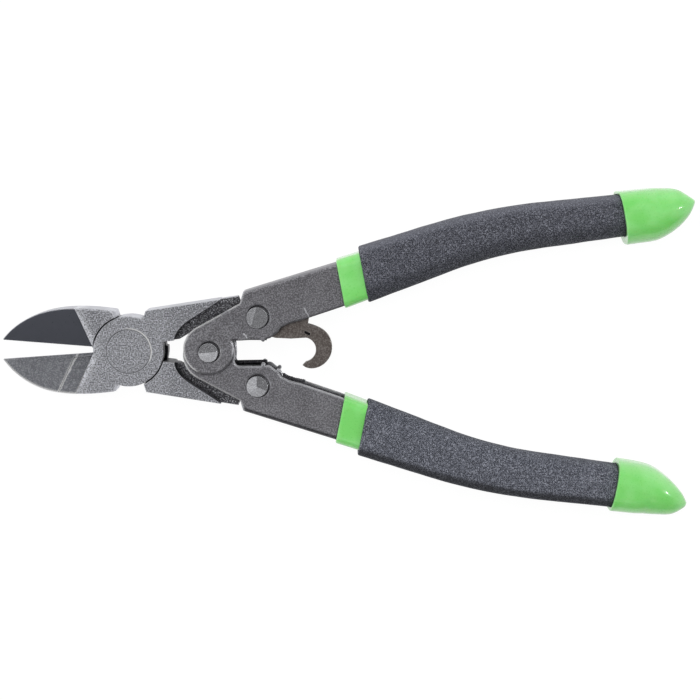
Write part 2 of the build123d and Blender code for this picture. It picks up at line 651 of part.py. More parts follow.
def cap_plan():
    """Plan of the cap's closed end: a slanted cut, a small round tip and a curved belly."""
    over = outer_rail(sleeve_over + CAP_WALL, CHANNEL_END_X)[-1]
    under = inner_rail(sleeve_under + CAP_WALL_INNER, CHANNEL_END_X - CAP_BELLY_REACH)[-1]
    shoulder, cheek, tip = [(over[0] + x, over[1] - y) for x, y in (CAP_SHOULDER, CAP_CHEEK, CAP_TIP)]
    belly = [(over[0] + x, over[1] - y) for x, y in CAP_BELLY]
    slant = (cheek[0] - shoulder[0], cheek[1] - shoulder[1])
    point = TangentArc(cheek, tip, tangent=slant)
    leaving = point % 1
    into = polar((0, 0), 1, INNER_HEADINGS[1] + 180)
    curve = Spline(tip, *belly, under, tangents=[(leaving.X, leaving.Y), into])
    behind = cap_front_x - CAP_GRIP
    frame = Polyline(under, (behind, -reach), (behind, reach), over, shoulder, cheek)
    return make_face([point.edge(), curve.edge()] + frame.edges())


def nose_profile():
    """Side view of the cap's upper half, thinned towards the tip."""
    end_x = CHANNEL_END_X + CAP_TIP[0]
    drop = cap_half - CAP_NOSE_HALF
    ease = EllipticalCenterArc((end_x - CAP_EASE, 0), CAP_EASE, drop, arc_size=90)
    back = Polyline(ease @ 1, (0, drop), (0, -reach), (end_x, -reach), ease @ 0)
    return make_face([ease.edge()] + back.edges())


def make_nose():
    """Space that the cap's closed end fills: its plan, thinned towards the tip, with round rims."""
    side = Pos(0, 0, CAP_NOSE_HALF) * extrude(Plane.XZ * nose_profile(), amount=reach, both=True)
    nose = slab(cap_plan(), -cap_half, cap_half) & side & mirror(side, about=Plane.XY)
    thinned_x = CHANNEL_END_X + CAP_TIP[0] - CAP_EASE
    rims = [e for e in nose.edges() if e.geom_type != GeomType.LINE and e.center().X > thinned_x]
    return fillet([e for e in rims if abs(e.center().Z) > CAP_NOSE_HALF], CAP_EDGE_RADIUS)


def make_cap():
    """Mould the end cap: a closed nose with its point on the outer side."""
    corners = (sleeve_corners[0] + CAP_WALL, sleeve_corners[1] + CAP_WALL)
    body = grip_body(sleeve_over + CAP_WALL, sleeve_under + CAP_WALL_INNER, cap_half, corners)
    body &= make_nose()
    body &= between(cap_front_x, CHANNEL_END_X + 2 * CAP_TIP[0])
    core = grip_body(
        sleeve_over + GRIP_CLEARANCE,
        sleeve_under + GRIP_CLEARANCE,
        sleeve_half + GRIP_CLEARANCE,
        sleeve_corners,
    )
    return body - (core & between(cap_front_x - CAP_GRIP, CHANNEL_END_X + CAP_FLOOR))


end_cap = make_cap()

os.makedirs("parts", exist_ok=True)
save("front_jaw", front_jaw)
save("rear_jaw", rear_jaw)
save("joint_rivet", joint_rivet)
save("upper_handle_channel", upper_channel)
save("lower_handle_channel", lower_channel)
save("handle_pivot_rivet", handle_pivot_rivet)
save("pivot_spacer_bush", pivot_bush)
save("opening_spring", opening_spring)
save("upper_arm_rivet", upper_arm_rivet)
save("lower_arm_rivet", lower_arm_rivet)
save("upper_arm_washer", upper_washer)
save("lower_arm_washer", lower_washer)
save("latch_hook", latch_hook)
save("latch_wave_washer", wave_washer)
save("upper_liner", liner)
save("upper_grip_sleeve", sleeve)
save("upper_end_cap", end_cap)
save("lower_liner", mirrored(liner))
save("lower_grip_sleeve", mirrored(sleeve))
save("lower_end_cap", mirrored(end_cap))
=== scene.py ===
"""Looks of a compound-leverage side cutter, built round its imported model.

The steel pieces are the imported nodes, which keep their shapes and take new finishes. The liners,
sleeves, end caps and the opening spring are new surfaces in place of the plain solids. The lap
disc's edge and the marks of the press are small pieces of their own. Lengths in the classes are
millimetres and are turned into metres where a mesh or a pattern is made.
"""
import logging
import math
from collections.abc import Callable
from dataclasses import dataclass, fields
from enum import Enum

import bpy
import numpy as np
from mathutils import Matrix, Vector


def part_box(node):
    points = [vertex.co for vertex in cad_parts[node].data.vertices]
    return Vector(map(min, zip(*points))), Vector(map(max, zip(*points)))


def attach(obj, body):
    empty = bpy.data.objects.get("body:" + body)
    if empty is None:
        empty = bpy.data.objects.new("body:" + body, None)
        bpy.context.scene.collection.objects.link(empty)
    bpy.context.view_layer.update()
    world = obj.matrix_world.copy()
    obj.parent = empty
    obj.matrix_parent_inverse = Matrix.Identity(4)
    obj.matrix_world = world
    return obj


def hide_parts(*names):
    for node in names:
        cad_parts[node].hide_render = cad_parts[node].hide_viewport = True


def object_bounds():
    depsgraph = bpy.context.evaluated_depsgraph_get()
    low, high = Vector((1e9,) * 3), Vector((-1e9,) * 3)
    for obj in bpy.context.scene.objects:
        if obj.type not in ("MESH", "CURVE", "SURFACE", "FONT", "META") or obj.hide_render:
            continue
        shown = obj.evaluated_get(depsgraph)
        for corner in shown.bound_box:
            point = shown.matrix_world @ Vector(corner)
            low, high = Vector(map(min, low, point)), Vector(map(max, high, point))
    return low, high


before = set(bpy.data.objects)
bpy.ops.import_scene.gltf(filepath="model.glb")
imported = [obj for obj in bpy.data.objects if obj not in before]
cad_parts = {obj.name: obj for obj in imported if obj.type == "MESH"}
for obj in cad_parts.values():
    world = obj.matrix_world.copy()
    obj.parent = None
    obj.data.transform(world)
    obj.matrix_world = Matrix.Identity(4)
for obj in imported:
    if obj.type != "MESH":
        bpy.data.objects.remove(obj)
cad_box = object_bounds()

log = logging.getLogger("side_cutter")

Array = np.ndarray
Colour = tuple[int, int, int]
Pair = tuple[float, float]      # a point of the plan, or where a change begins and ends

MM = 0.001
MID_HEIGHT = 6.0         # height of the joint's middle plane over its rear face
LEVEL: Pair = (0.4, 0.85)       # slopes over which a wall turns into a level face
WHITE: Colour = (255, 255, 255)
STEEL = {"Metallic": 0.92, "Specular IOR Level": 0.5}


class Side(Enum):
    """The two handles, which mirror each other about the tool's axis."""

    UPPER = "upper"
    LOWER = "lower"

    @property
    def sign(self) -> float:
        """Return the side of the axis: +1 above it, -1 below it."""
        return 1.0 if self is Side.UPPER else -1.0

    @property
    def body(self) -> str:
        """Return the name of the body that this handle's pieces ride on."""
        return f"{self.value}_handle"


def linear(colour: Colour) -> tuple[float, float, float, float]:
    """Turn a screen colour into the shader's linear colour.

    Args:
        colour: Red, green and blue from 0 to 255.

    Returns:
        The linear colour with an alpha of one.
    """
    share = np.array(colour) / 255.0
    low = share / 12.92
    high = ((share + 0.055) / 1.055) ** 2.4
    red, green, blue = np.where(share <= 0.04045, low, high)
    return float(red), float(green), float(blue), 1.0


def sign(operation: str, reflected: bool = False) -> Callable[["Signal", "Signal | float"], "Signal"]:
    """Return the method for an arithmetic sign between a signal and another value.

    Args:
        operation: The Math node's operation.
        reflected: Whether the signal stands second, as in 1 - signal.

    Returns:
        The method.
    """

    def method(signal: "Signal", other: "Signal | float") -> "Signal":
        """Return the result of the sign."""
        return signal.maths(operation, *((other, signal) if reflected else (signal, other)))

    return method


class Signal:
    """A number that varies over a surface: an output socket that takes part in arithmetic."""

    __add__ = sign("ADD")
    __radd__ = sign("ADD", reflected=True)
    __sub__ = sign("SUBTRACT")
    __rsub__ = sign("SUBTRACT", reflected=True)
    __mul__ = sign("MULTIPLY")
    __rmul__ = sign("MULTIPLY", reflected=True)
    __truediv__ = sign("DIVIDE")

    def __init__(self, graph: "Graph", socket: bpy.types.NodeSocket) -> None:
        """Keep the socket and the graph that it belongs to."""
        self.graph = graph
        self.socket = socket

    def __abs__(self) -> "Signal":
        """Return the size of self without its sign."""
        return self.maths("ABSOLUTE", self)

    def maths(self, operation: str, *values: "Signal | float") -> "Signal":
        """Add one Math node with its inputs in order, and return its result."""
        node = self.graph.node("ShaderNodeMath", {"operation": operation}, dict(enumerate(values)))
        return Signal(self.graph, node.outputs[0])

    def between(self, low: float, high: float) -> "Signal":
        """Return 0 at low or less, 1 at high or more, and a smooth rise between them."""
        node = self.graph.node(
            "ShaderNodeMapRange", {"interpolation_type": "SMOOTHSTEP", "clamp": True}, {0: self, 1: low, 2: high}
        )
        return Signal(self.graph, node.outputs[0])


Layer = tuple[Signal, object]       # how much of a colour covers what is beneath it, and the colour


class Graph:
    """A node tree, and the coordinates that its patterns are read in."""

    def __init__(self, tree: bpy.types.NodeTree, coordinates: str) -> None:
        """Empty a tree and add its coordinates.

        Args:
            tree: The node tree.
            coordinates: The Texture Coordinate node's output to read.
        """
        tree.nodes.clear()
        self.tree = tree
        self.place = self.node("ShaderNodeTexCoord").outputs[coordinates]

    def node(
        self,
        kind: str,
        settings: dict[str, object] | None = None,
        inputs: dict[int | str, object] | None = None,
    ) -> bpy.types.Node:
        """Add any node.

        Args:
            kind: The node's type.
            settings: Its properties, set before its inputs.
            inputs: Values, signals or sockets by the input's number or name.

        Returns:
            The new node.
        """
        node = self.tree.nodes.new(kind)
        for key, value in (settings or {}).items():
            setattr(node, key, value)
        for key, value in (inputs or {}).items():
            self.feed(node.inputs[key], value)
        return node

    def feed(self, socket: bpy.types.NodeSocket, value: object) -> None:
        """Link a signal or a socket to an input, or set the input to a number or colour."""
        if isinstance(value, Signal):
            value = value.socket
        if isinstance(value, bpy.types.NodeSocket):
            self.tree.links.new(value, socket)
        else:
            socket.default_value = value

    def split(self, vector: bpy.types.NodeSocket) -> tuple[Signal, Signal, Signal]:
        """Return a vector's X, Y and Z."""
        x, y, z = self.node("ShaderNodeSeparateXYZ", inputs={0: vector}).outputs
        return Signal(self, x), Signal(self, y), Signal(self, z)

    def axes(self) -> tuple[Signal, Signal, Signal]:
        """Return the place on the part in millimetres, along X, Y and Z."""
        x, y, z = (part / MM for part in self.split(self.place))
        return x, y, z

    def facing(self) -> tuple[Signal, Signal, Signal]:
        """Return the direction that the surface faces, along X, Y and Z."""
        return self.split(self.node("ShaderNodeTexCoord").outputs["Normal"])

    def slope(self) -> Signal:
        """Return how level the surface is: 1 for a face that looks up or down, 0 for a wall."""
        return abs(self.facing()[2])

    def cloudy(self, where: bpy.types.NodeSocket, size: float, detail: float) -> bpy.types.Node:
        """Return a noise node read at a place, with clouds of a size in millimetres."""
        inputs = {"Vector": where, "Scale": 1.0 / (size * MM), "Detail": detail}
        return self.node("ShaderNodeTexNoise", inputs=inputs)

    def noise(
        self,
        size: float,
        detail: float = 3.0,
        seed: float = 0.0,
        stretch: tuple[float, float, float] = (1.0, 1.0, 1.0),
    ) -> Signal:
        """Return soft cloudy noise from about 0.25 to 0.75.

        Args:
            size: Size of a cloud in millimetres.
            detail: Number of finer layers.
            seed: Shift of the pattern, so that two noises differ.
            stretch: Scale of the pattern along each axis.

        Returns:
            The noise.
        """
        place = {"Vector": self.place, "Location": (seed, seed * 0.7, -seed), "Scale": stretch}
        where = self.node("ShaderNodeMapping", inputs=place).outputs[0]
        return Signal(self, self.cloudy(where, size, detail).outputs[0])

    def cells(self, size: float, feature: str, where: bpy.types.NodeSocket) -> Signal:
        """Return what a cell pattern's feature measures at a place, such as DISTANCE_TO_EDGE."""
        inputs = {"Vector": where, "Scale": 1.0 / (size * MM)}
        return Signal(self, self.node("ShaderNodeTexVoronoi", {"feature": feature}, inputs).outputs[0])

    def warped(self, size: float, amount: float) -> bpy.types.NodeSocket:
        """Return the place pushed about by coloured noise, by an amount in millimetres."""
        inputs = {0: self.cloudy(self.place, size, 2.0).outputs[1], 1: (amount * MM,) * 3, 2: self.place}
        return self.node("ShaderNodeVectorMath", {"operation": "MULTIPLY_ADD"}, inputs).outputs[0]

    def mixed(self, share: Signal, first: object, second: object) -> bpy.types.NodeSocket:
        """Blend two colours.

        Args:
            share: 0 gives the first, 1 the second.
            first: A colour socket or a screen colour.
            second: A colour socket or a screen colour.

        Returns:
            The blended colour.
        """
        ends = [linear(end) if isinstance(end, tuple) else end for end in (first, second)]
        node = self.node("ShaderNodeMix", {"data_type": "RGBA"}, {0: share, 6: ends[0], 7: ends[1]})
        return node.outputs[2]

    def layered(self, colour: object, *layers: Layer) -> object:
        """Lay colours over one another.

        Args:
            colour: The colour beneath them all.
            layers: From below upward, how much a colour covers what is beneath it, and the colour.

        Returns:
            The colour on top.
        """
        for share, above in layers:
            colour = self.mixed(share, colour, above)
        return colour

    def rounded(self, radius: float) -> bpy.types.NodeSocket:
        """Return the direction of the surface with its edges broken by a radius in millimetres."""
        return self.node("ShaderNodeBevel", {"samples": 6}, {"Radius": radius * MM}).outputs[0]

    def rim(self, radius: float) -> tuple[Signal, bpy.types.NodeSocket]:
        """Return how near the surface is to an edge, and its direction with that edge broken.

        Args:
            radius: How far from an edge the rise begins, in millimetres.

        Returns:
            0 on open faces to 1 on edges, from one less the cosine between the true and the
            rounded direction, and the rounded direction.
        """
        soft = self.rounded(radius)
        true = self.node("ShaderNodeNewGeometry").outputs["Normal"]
        dot = self.node("ShaderNodeVectorMath", {"operation": "DOT_PRODUCT"}, {0: soft, 1: true})
        return (1.0 - Signal(self, dot.outputs["Value"])).between(0.005, 0.11), soft

    def sunk(self, reach: float) -> Signal:
        """Return 0 in the open, rising to 1 in corners narrower than a reach in millimetres."""
        node = self.node("ShaderNodeAmbientOcclusion", {"samples": 8}, {"Distance": reach * MM})
        return 1.0 - Signal(self, node.outputs["AO"])

    def bump(
        self, height: Signal, depth: float, below: bpy.types.NodeSocket | None = None
    ) -> bpy.types.NodeSocket:
        """Return the direction of a surface roughened by a height.

        Args:
            height: The height, about 0 to 1.
            depth: Depth in millimetres that a height of one stands for.
            below: The direction to roughen, or none for the plain surface.

        Returns:
            The new direction.
        """
        inputs: dict[int | str, object] = {"Height": height, "Distance": depth * MM, "Strength": 1.0}
        if below is not None:
            inputs["Normal"] = below
        return self.node("ShaderNodeBump", inputs=inputs).outputs[0]


class Surface(Graph):
    """The node tree of one material, with its surface shader."""

    def __init__(self, name: str) -> None:
        """Start a material that holds a surface shader and nothing else.

        Args:
            name: The material's name.
        """
        self.material = bpy.data.materials.new(name)
        self.material.use_nodes = True
        super().__init__(self.material.node_tree, "Object")
        self.shader = self.node("ShaderNodeBsdfPrincipled")
        self.output = self.node("ShaderNodeOutputMaterial", inputs={0: self.shader.outputs[0]})

    def finish(self, constants: dict[str, float], varying: dict[str, object]) -> bpy.types.Material:
        """Set the surface shader's plain values and feed the ones that vary.

        Args:
            constants: Values by the shader's socket names.
            varying: Signals and sockets by the shader's socket names.

        Returns:
            The finished material.
        """
        for key, value in (constants | varying).items():
            self.feed(self.shader.inputs[key], value)
        return self.material


@dataclass(frozen=True)
class Blast:
    """Marks of bead blasting: fine bright and dark specks over soft clouds."""

    grain: float = 0.5
    cloud: float = 2.4
    strength: float = 0.95
    cloudiness: float = 0.22

    def over(
        self, graph: Surface, base: object, light: Colour, dark: Colour, share: Signal
    ) -> tuple[object, Signal]:
        """Lay the marks over a colour.

        Args:
            graph: The material.
            base: The colour beneath.
            light: Colour of the bright specks.
            dark: Colour of the dark ones.
            share: How strongly the marks show, from 0 to 1.

        Returns:
            The marked colour and the grain's height.
        """
        clouds = graph.noise(self.cloud)
        height = graph.noise(self.grain, 1.0, seed=0.3)
        amount = share * self.strength
        colour = graph.layered(
            base,
            ((1.0 - height.between(0.36, 0.5)) * amount, dark),
            (height.between(0.5, 0.64) * amount, light),
            ((1.0 - clouds.between(0.3, 0.6)) * self.cloudiness, dark),
        )
        return colour, height


@dataclass(frozen=True)
class Zones:
    """The place, how level the surface is, and the zones: 1 inside a zone and 0 outside it."""

    x: Signal
    y: Signal
    slope: Signal
    level: Signal
    hollow: Signal
    bevel: Signal
    smooth: Signal
    rough: Signal


@dataclass(frozen=True)
class ForgedSteel:
    """Bead-blasted forging: pale joint faces, ground bevels and rough hollows, with painted shade in the hollows
    and corners and painted highlights on edges and steep faces.
    """

    name: str
    dark_bevel_up: bool
    blast: Blast = Blast()
    ridge: tuple[float, float, float] = (-22.84, -9.2, 64.4)
    brow: tuple[float, float, float] = (-12.96, 0.96, 113.0)
    pin: float = 8.0
    web_half: Pair = (2.6, 3.4)
    arm_start: Pair = (12.0, 14.0)
    bevel_end: Pair = (-12.0, -11.0)
    relief: float = 0.045
    break_radius: float = 0.5
    face: Colour = (187, 188, 194)
    light: Colour = (232, 233, 241)
    stain: Colour = (128, 129, 134)
    hollow: Colour = (112, 111, 115)
    deep: Colour = (30, 30, 34)
    bevel: Colour = (156, 158, 164)
    smooth_bevel: Colour = (128, 131, 142)
    edge: Colour = (236, 237, 242)

    def dress(self) -> bpy.types.Material:
        """Return the material: blast marks by zones of height, slope and place.

        Returns:
            The material.
        """
        graph = Surface(self.name)
        zones = self.zoned(graph)
        streaks = graph.noise(0.9, seed=0.6, stretch=(0.9, 0.3, 1.0))
        pits = graph.noise(0.5, 2.0, seed=0.9)
        marked = zones.level * (1.0 - zones.hollow * 0.6 - zones.rough * 0.66)
        base = self.ground(graph, zones, streaks)
        colour, grain = self.blast.over(graph, base, self.light, self.stain, marked)
        colour = graph.layered(
            colour,
            (zones.hollow * pits.between(0.58, 0.66), self.edge),
            (zones.hollow * (1.0 - pits.between(0.36, 0.5)) * 0.7, self.deep),
            (zones.smooth, self.smooth_bevel),
            *self.edges(graph, zones),
        )
        matt = 0.4 + grain * 0.14 + zones.hollow * 0.14 + zones.rough * streaks * 0.2 - zones.smooth * 0.16
        height = grain * (1.0 - zones.smooth * 0.92) * zones.level
        height = height + streaks * zones.rough * 0.6 + zones.hollow * pits * 2.0
        normal = graph.bump(height, self.relief, graph.rounded(self.break_radius))
        return graph.finish(STEEL, {"Base Color": colour, "Roughness": matt, "Normal": normal})

    def zoned(self, graph: Surface) -> Zones:
        """Return the zones: the hollow by its height, and the bevels by their slope.

        Args:
            graph: The material.

        Returns:
            The zones.
        """
        x, y, z = graph.axes()
        slope = graph.slope()
        level = slope.between(*LEVEL)
        hollow = (1.0 - abs(z - MID_HEIGHT).between(*self.web_half)) * x.between(*self.arm_start) * level
        bevel = slope.between(0.87, 0.9) * (1.0 - slope.between(0.95, 0.975))
        bevel = bevel * (1.0 - x.between(*self.bevel_end))
        front = z.between(MID_HEIGHT - 0.1, MID_HEIGHT + 0.1)
        smooth = bevel * (front if self.dark_bevel_up else 1.0 - front)
        return Zones(x, y, slope, level, hollow, bevel, smooth, bevel - smooth)

    def ground(self, graph: Surface, zones: Zones, streaks: Signal) -> object:
        """Return the colour under the blast marks: faces, bevels and hollows, with painted light: lighter steep
        faces, highlights at the brow and along the bevel's ridge, and shade on the arms, the rear jaw's blade,
        the hollows and the walls beside the disc.

        Args:
            graph: The material.
            zones: Where the finishes lie.
            streaks: The bevels' grinding marks.

        Returns:
            The colour.
        """
        x, y, slope, rough = zones.x, zones.y, zones.slope, zones.rough
        # Painted highlight: a lighter band just past the brow line, where the jaw rounds over.
        past = self.beyond(self.brow, x, abs(y))
        eased = past.between(-0.5, 0.0) * (1.0 - past.between(0.0, 5.0)) * 0.7
        # Painted shade: the arms past the joint and the rear jaw's blade are darkened with the stain colour.
        shaded_jaw = 1.0 if self.dark_bevel_up else 0.0
        painted_shade = x.between(13.0, 16.0) + (1.0 - x.between(-10.0, -8.0)) * shaded_jaw
        # Painted highlight: a ragged white line along the ridge of the ground bevel.
        painted_light = self.beyond(self.ridge, x, y) + graph.noise(1.4, seed=0.7) * 0.9 - 0.45
        # Painted shade: near-upright walls just beside the lap disc are darkened almost to black.
        walls = (1.0 - slope.between(0.5, 0.8)) * x.between(12.0, 12.6) * (1.0 - abs(y).between(8.5, 10.5))
        return graph.layered(
            self.face,
            (painted_shade * 0.42, self.stain),
            # painted reflection: steep faces are made lighter
            ((1.0 - slope.between(0.3, 0.6)) * 0.45, self.light),
            (eased, self.edge),
            (rough, self.bevel),
            (rough * streaks.between(0.42, 0.62) * 0.5, self.stain),
            ((1.0 - abs(painted_light).between(0.25, 0.5)) * rough, WHITE),
            # painted shade: the hollow between the channel plates takes a darker colour
            (zones.hollow, self.hollow),
            (walls * 0.9, self.deep),
        )

    def edges(self, graph: Surface, zones: Zones) -> list[Layer]:
        """Return what lies over everything, all painted light: highlights on the edges, shade in the corners and
        a highlight arc at the pin.

        Args:
            graph: The material.
            zones: Where the finishes lie.

        Returns:
            The layers from below upward.
        """
        x, y = zones.x, zones.y
        # Painted highlights on the broken edges, and on the lower jaw's spine.
        layers = [(graph.rim(self.break_radius)[0] * 0.8, self.edge)]
        if not self.dark_bevel_up:
            spine = graph.rim(1.3)[0]
            layers.append((spine * zones.bevel * (0.0 - y).between(3.0, 5.0), WHITE))
        # Painted shade in the corners, weaker along the seam round the pin, and a painted highlight arc beside
        # the pin.
        apart = x * x + y * y - self.pin**2
        seam = 1.0 - abs(apart).between(4.0, 9.0)
        arc = (1.0 - abs(apart - 4.0).between(3.0, 7.0)) * (x + y * 0.7).between(3.0, 7.0) * zones.level
        corners = graph.sunk(3.0).between(0.2, 0.6) * (1.0 - seam * 0.72) * 0.92
        return [*layers, (corners, self.deep), (arc * 0.8, WHITE)]

    @staticmethod
    def beyond(line: tuple[float, float, float], x: Signal, y: Signal) -> Signal:
        """Return the distance to the right of a plan line.

        Args:
            line: X and Y of a point on the line, and its bearing in degrees.
            x: The place's X.
            y: The place's Y.

        Returns:
            The distance in millimetres.
        """
        at_x, at_y, bearing = line
        sine, cosine = math.sin(math.radians(bearing)), math.cos(math.radians(bearing))
        return (x - at_x) * sine - (y - at_y) * cosine


@dataclass(frozen=True)
class PlainSteel:
    """Turned or drawn steel: one grey with a fine speckle, painted highlights on its edges and painted shade in
    its corners.
    """

    name: str
    grey: Colour
    light: Colour
    stain: Colour
    edge: Colour
    blast: Blast = Blast(strength=0.8)
    deep: Colour = (30, 30, 33)
    roughness: float = 0.4
    relief: float = 0.035
    break_radius: float = 0.3
    corner_shade: float = 0.92

    def dress(self) -> bpy.types.Material:
        """Return the material: blast marks over a grey, painted shade in the corners and painted highlights on
        the broken edges.

        Returns:
            The material.
        """
        graph = Surface(self.name)
        patches = graph.noise(9.0, seed=0.5)
        slope = graph.slope()
        base = graph.mixed(patches.between(0.35, 0.65) * 0.35, self.grey, self.stain)
        colour, grain = self.blast.over(graph, base, self.light, self.stain, slope.between(*LEVEL))
        # painted shade in the corners
        corners = graph.sunk(2.2).between(0.2, 0.6) * self.corner_shade
        colour = graph.layered(colour, *self.painted_light(graph, slope), (corners, self.deep))
        rough = self.roughness - 0.06 + grain * 0.12 + patches * 0.06
        normal = graph.bump(grain, self.relief, graph.rounded(self.break_radius))
        return graph.finish(STEEL, {"Base Color": colour, "Roughness": rough, "Normal": normal})

    def painted_light(self, graph: Surface, slope: Signal) -> list[Layer]:
        """Return the layers over the blast marks: painted highlights on the edges."""
        return [(graph.rim(self.break_radius)[0] * 0.85, self.edge)]


@dataclass(frozen=True)
class PressedSteel(PlainSteel):
    """Pressed sheet steel: sheared edges, the upper channel's joggle and two fine lines of painted highlight
    along creases.
    """

    joggle_at: Pair = (37.5, 9.1)
    joggle_turn: float = 33.6
    joggle_half: Pair = (2.6, 3.2)
    joggle_reach: Pair = (4.4, 5.0)
    joggle_depth: Pair = (6.3, 6.8)
    bright_until: Pair = (38.0, 42.0)
    # two fine lines of painted highlight along creases, the first on the joggle's bend
    bright_lines: tuple[tuple[Pair, Pair], ...] = (((41.43, 7.0), (43.0, 4.95)), ((63.0, 16.16), (65.19, 12.6)))

    def painted_light(self, graph: Surface, slope: Signal) -> list[Layer]:
        """Return the layers over the blast marks.

        The edges carry painted highlights, brightest towards the jaws. The joggle's slopes and the sheared
        edges that look towards the lower handle carry painted shade, and two fine lines carry painted
        highlights.

        Args:
            graph: The material.
            slope: How level the surface is.

        Returns:
            The layers from below upward.
        """
        x, _, z = graph.axes()
        rim, soft = graph.rim(self.break_radius)
        ahead, across, _ = graph.split(soft)
        bright = rim * (1.0 - self.joggle(graph))
        left = (0.0 - ahead).between(0.05, 0.3) * (1.0 - x.between(*self.bright_until))
        bent = slope.between(0.7, 0.74) * (1.0 - slope.between(0.82, 0.86))
        bent = bent * abs(z - MID_HEIGHT).between(*self.joggle_depth)
        under = (0.0 - across).between(0.06, 0.35) * (ahead - across * 0.5).between(-0.05, 0.05)
        # painted highlights on the edges and two fine lines, painted shade on the joggle's slopes and the
        # under-edges
        return [
            (bright * 0.85, self.edge),
            (bright * left * 0.85, WHITE),
            (bent * 0.36, self.deep),
            (under * 0.75, self.deep),
            *[(self.bright_line(graph, *ends) * 0.9, self.edge) for ends in self.bright_lines],
        ]

    def joggle(self, graph: Surface) -> Signal:
        """Return where the joggle crosses its plate, clear of the plate's edges.

        Args:
            graph: The material.

        Returns:
            1 on the joggle and 0 away from it.
        """
        x, y, _ = graph.axes()
        (at_x, at_y), turn = self.joggle_at, math.radians(self.joggle_turn)
        across = (x - at_x) * math.cos(turn) + (y - at_y) * math.sin(turn)
        along = (x - at_x) * math.sin(turn) - (y - at_y) * math.cos(turn)
        inside = 1.0 - abs(across).between(*self.joggle_half)
        return inside * (1.0 - abs(along).between(*self.joggle_reach))

    @staticmethod
    def bright_line(graph: Surface, start: Pair, end: Pair) -> Signal:
        """Return where a fine wandering line runs between two plan points.

        Args:
            graph: The material.
            start: One end in millimetres.
            end: The other end.

        Returns:
            1 on the line and 0 away from it.
        """
        x, y, _ = graph.axes()
        run, rise = end[0] - start[0], end[1] - start[1]
        length = math.hypot(run, rise)
        along = (x - start[0]) * (run / length) + (y - start[1]) * (rise / length)
        apart = (x - start[0]) * (rise / length) - (y - start[1]) * (run / length)
        wander = graph.noise(1.2, 2.0, seed=0.1) * 0.8 - 0.4
        inside = along.between(0.0, 0.3) * (1.0 - along.between(length - 0.3, length))
        return inside * (1.0 - abs(apart + wander).between(0.08, 0.26))


@dataclass(frozen=True)
class Vinyl:
    """Glossy dipped vinyl: deep green on the faces, made paler on its sides and lips by painted sheen."""

    name: str
    colour: Colour = (138, 222, 126)
    deep: Colour = (121, 214, 105)
    pale: Colour = (186, 242, 176)
    shade: Colour = (58, 140, 48)

    def dress(self) -> bpy.types.Material:
        """Return the material: two greens in slow clouds under a clear coat, with faint waves.

        Returns:
            The material.
        """
        graph = Surface(self.name)
        clouds = graph.noise(9.0, 2.0)
        haze = graph.noise(0.6, seed=0.4)
        colour = graph.layered(
            self.deep,
            (clouds.between(0.35, 0.65), self.colour),
            # painted sheen on steep sides and on edges, and painted shade in the corners
            ((1.0 - graph.slope().between(0.3, 0.93)) * 0.3, self.pale),
            (graph.rim(0.6)[0] * 0.35, self.pale),
            (graph.sunk(3.0).between(0.35, 0.75) * 0.8, self.shade),
        )
        normal = graph.bump(clouds + haze * 0.06, 0.12)
        return graph.finish(
            {"Coat Weight": 0.6, "Coat Roughness": 0.1, "Subsurface Weight": 0.08, "Subsurface Scale": 0.002},
            {"Base Color": colour, "Roughness": 0.22 + haze * 0.14, "Normal": normal},
        )


@dataclass(frozen=True)
class GrainedGrip:
    """Dark grip material with a fine leather grain: pale rubbed crowns and dark creases, under painted light and
    shade.
    """

    name: str
    crown_and_sheen: Colour
    ground: Colour
    crease: Colour
    lit: float
    shaded: float
    deep: Colour = (16, 17, 22)

    def dress(self) -> bpy.types.Material:
        """Return the material: cells warped by noise, with crowns, ground and creases.

        Returns:
            The material.
        """
        graph = Surface(self.name)
        crease = graph.cells(0.8, "DISTANCE_TO_EDGE", graph.warped(1.1, 0.9)).between(0.02, 0.24)
        worms = 1.0 - abs(graph.noise(0.75, 1.0, seed=0.5) - 0.5).between(0.015, 0.06)
        patches = graph.noise(7.0, 2.0).between(0.3, 0.7)
        _, across, _ = graph.facing()
        under = 0.0 - across
        dim = under.between(0.1, 0.5) * (1.0 - under.between(0.75, 0.95) * 0.6)
        colour = graph.layered(
            self.crease,
            (crease, self.ground),
            (worms * (0.56 + patches * 0.14), self.crown_and_sheen),
            # painted light on faces that look towards +Y in the crown colour; painted shade on faces that look
            # towards -Y and in the corners
            (across.between(0.35, 0.85) * self.lit, self.crown_and_sheen),
            (dim * self.shaded, self.deep),
            (graph.sunk(3.0).between(0.22, 0.6) * 0.9, self.deep),
        )
        rough = 0.6 - worms * 0.16 + abs(across).between(0.2, 0.8) * 0.3
        normal = graph.bump(crease * 0.6 + worms * 0.5, 0.16)
        return graph.finish(
            {"Specular IOR Level": 0.45}, {"Base Color": colour, "Roughness": rough, "Normal": normal}
        )


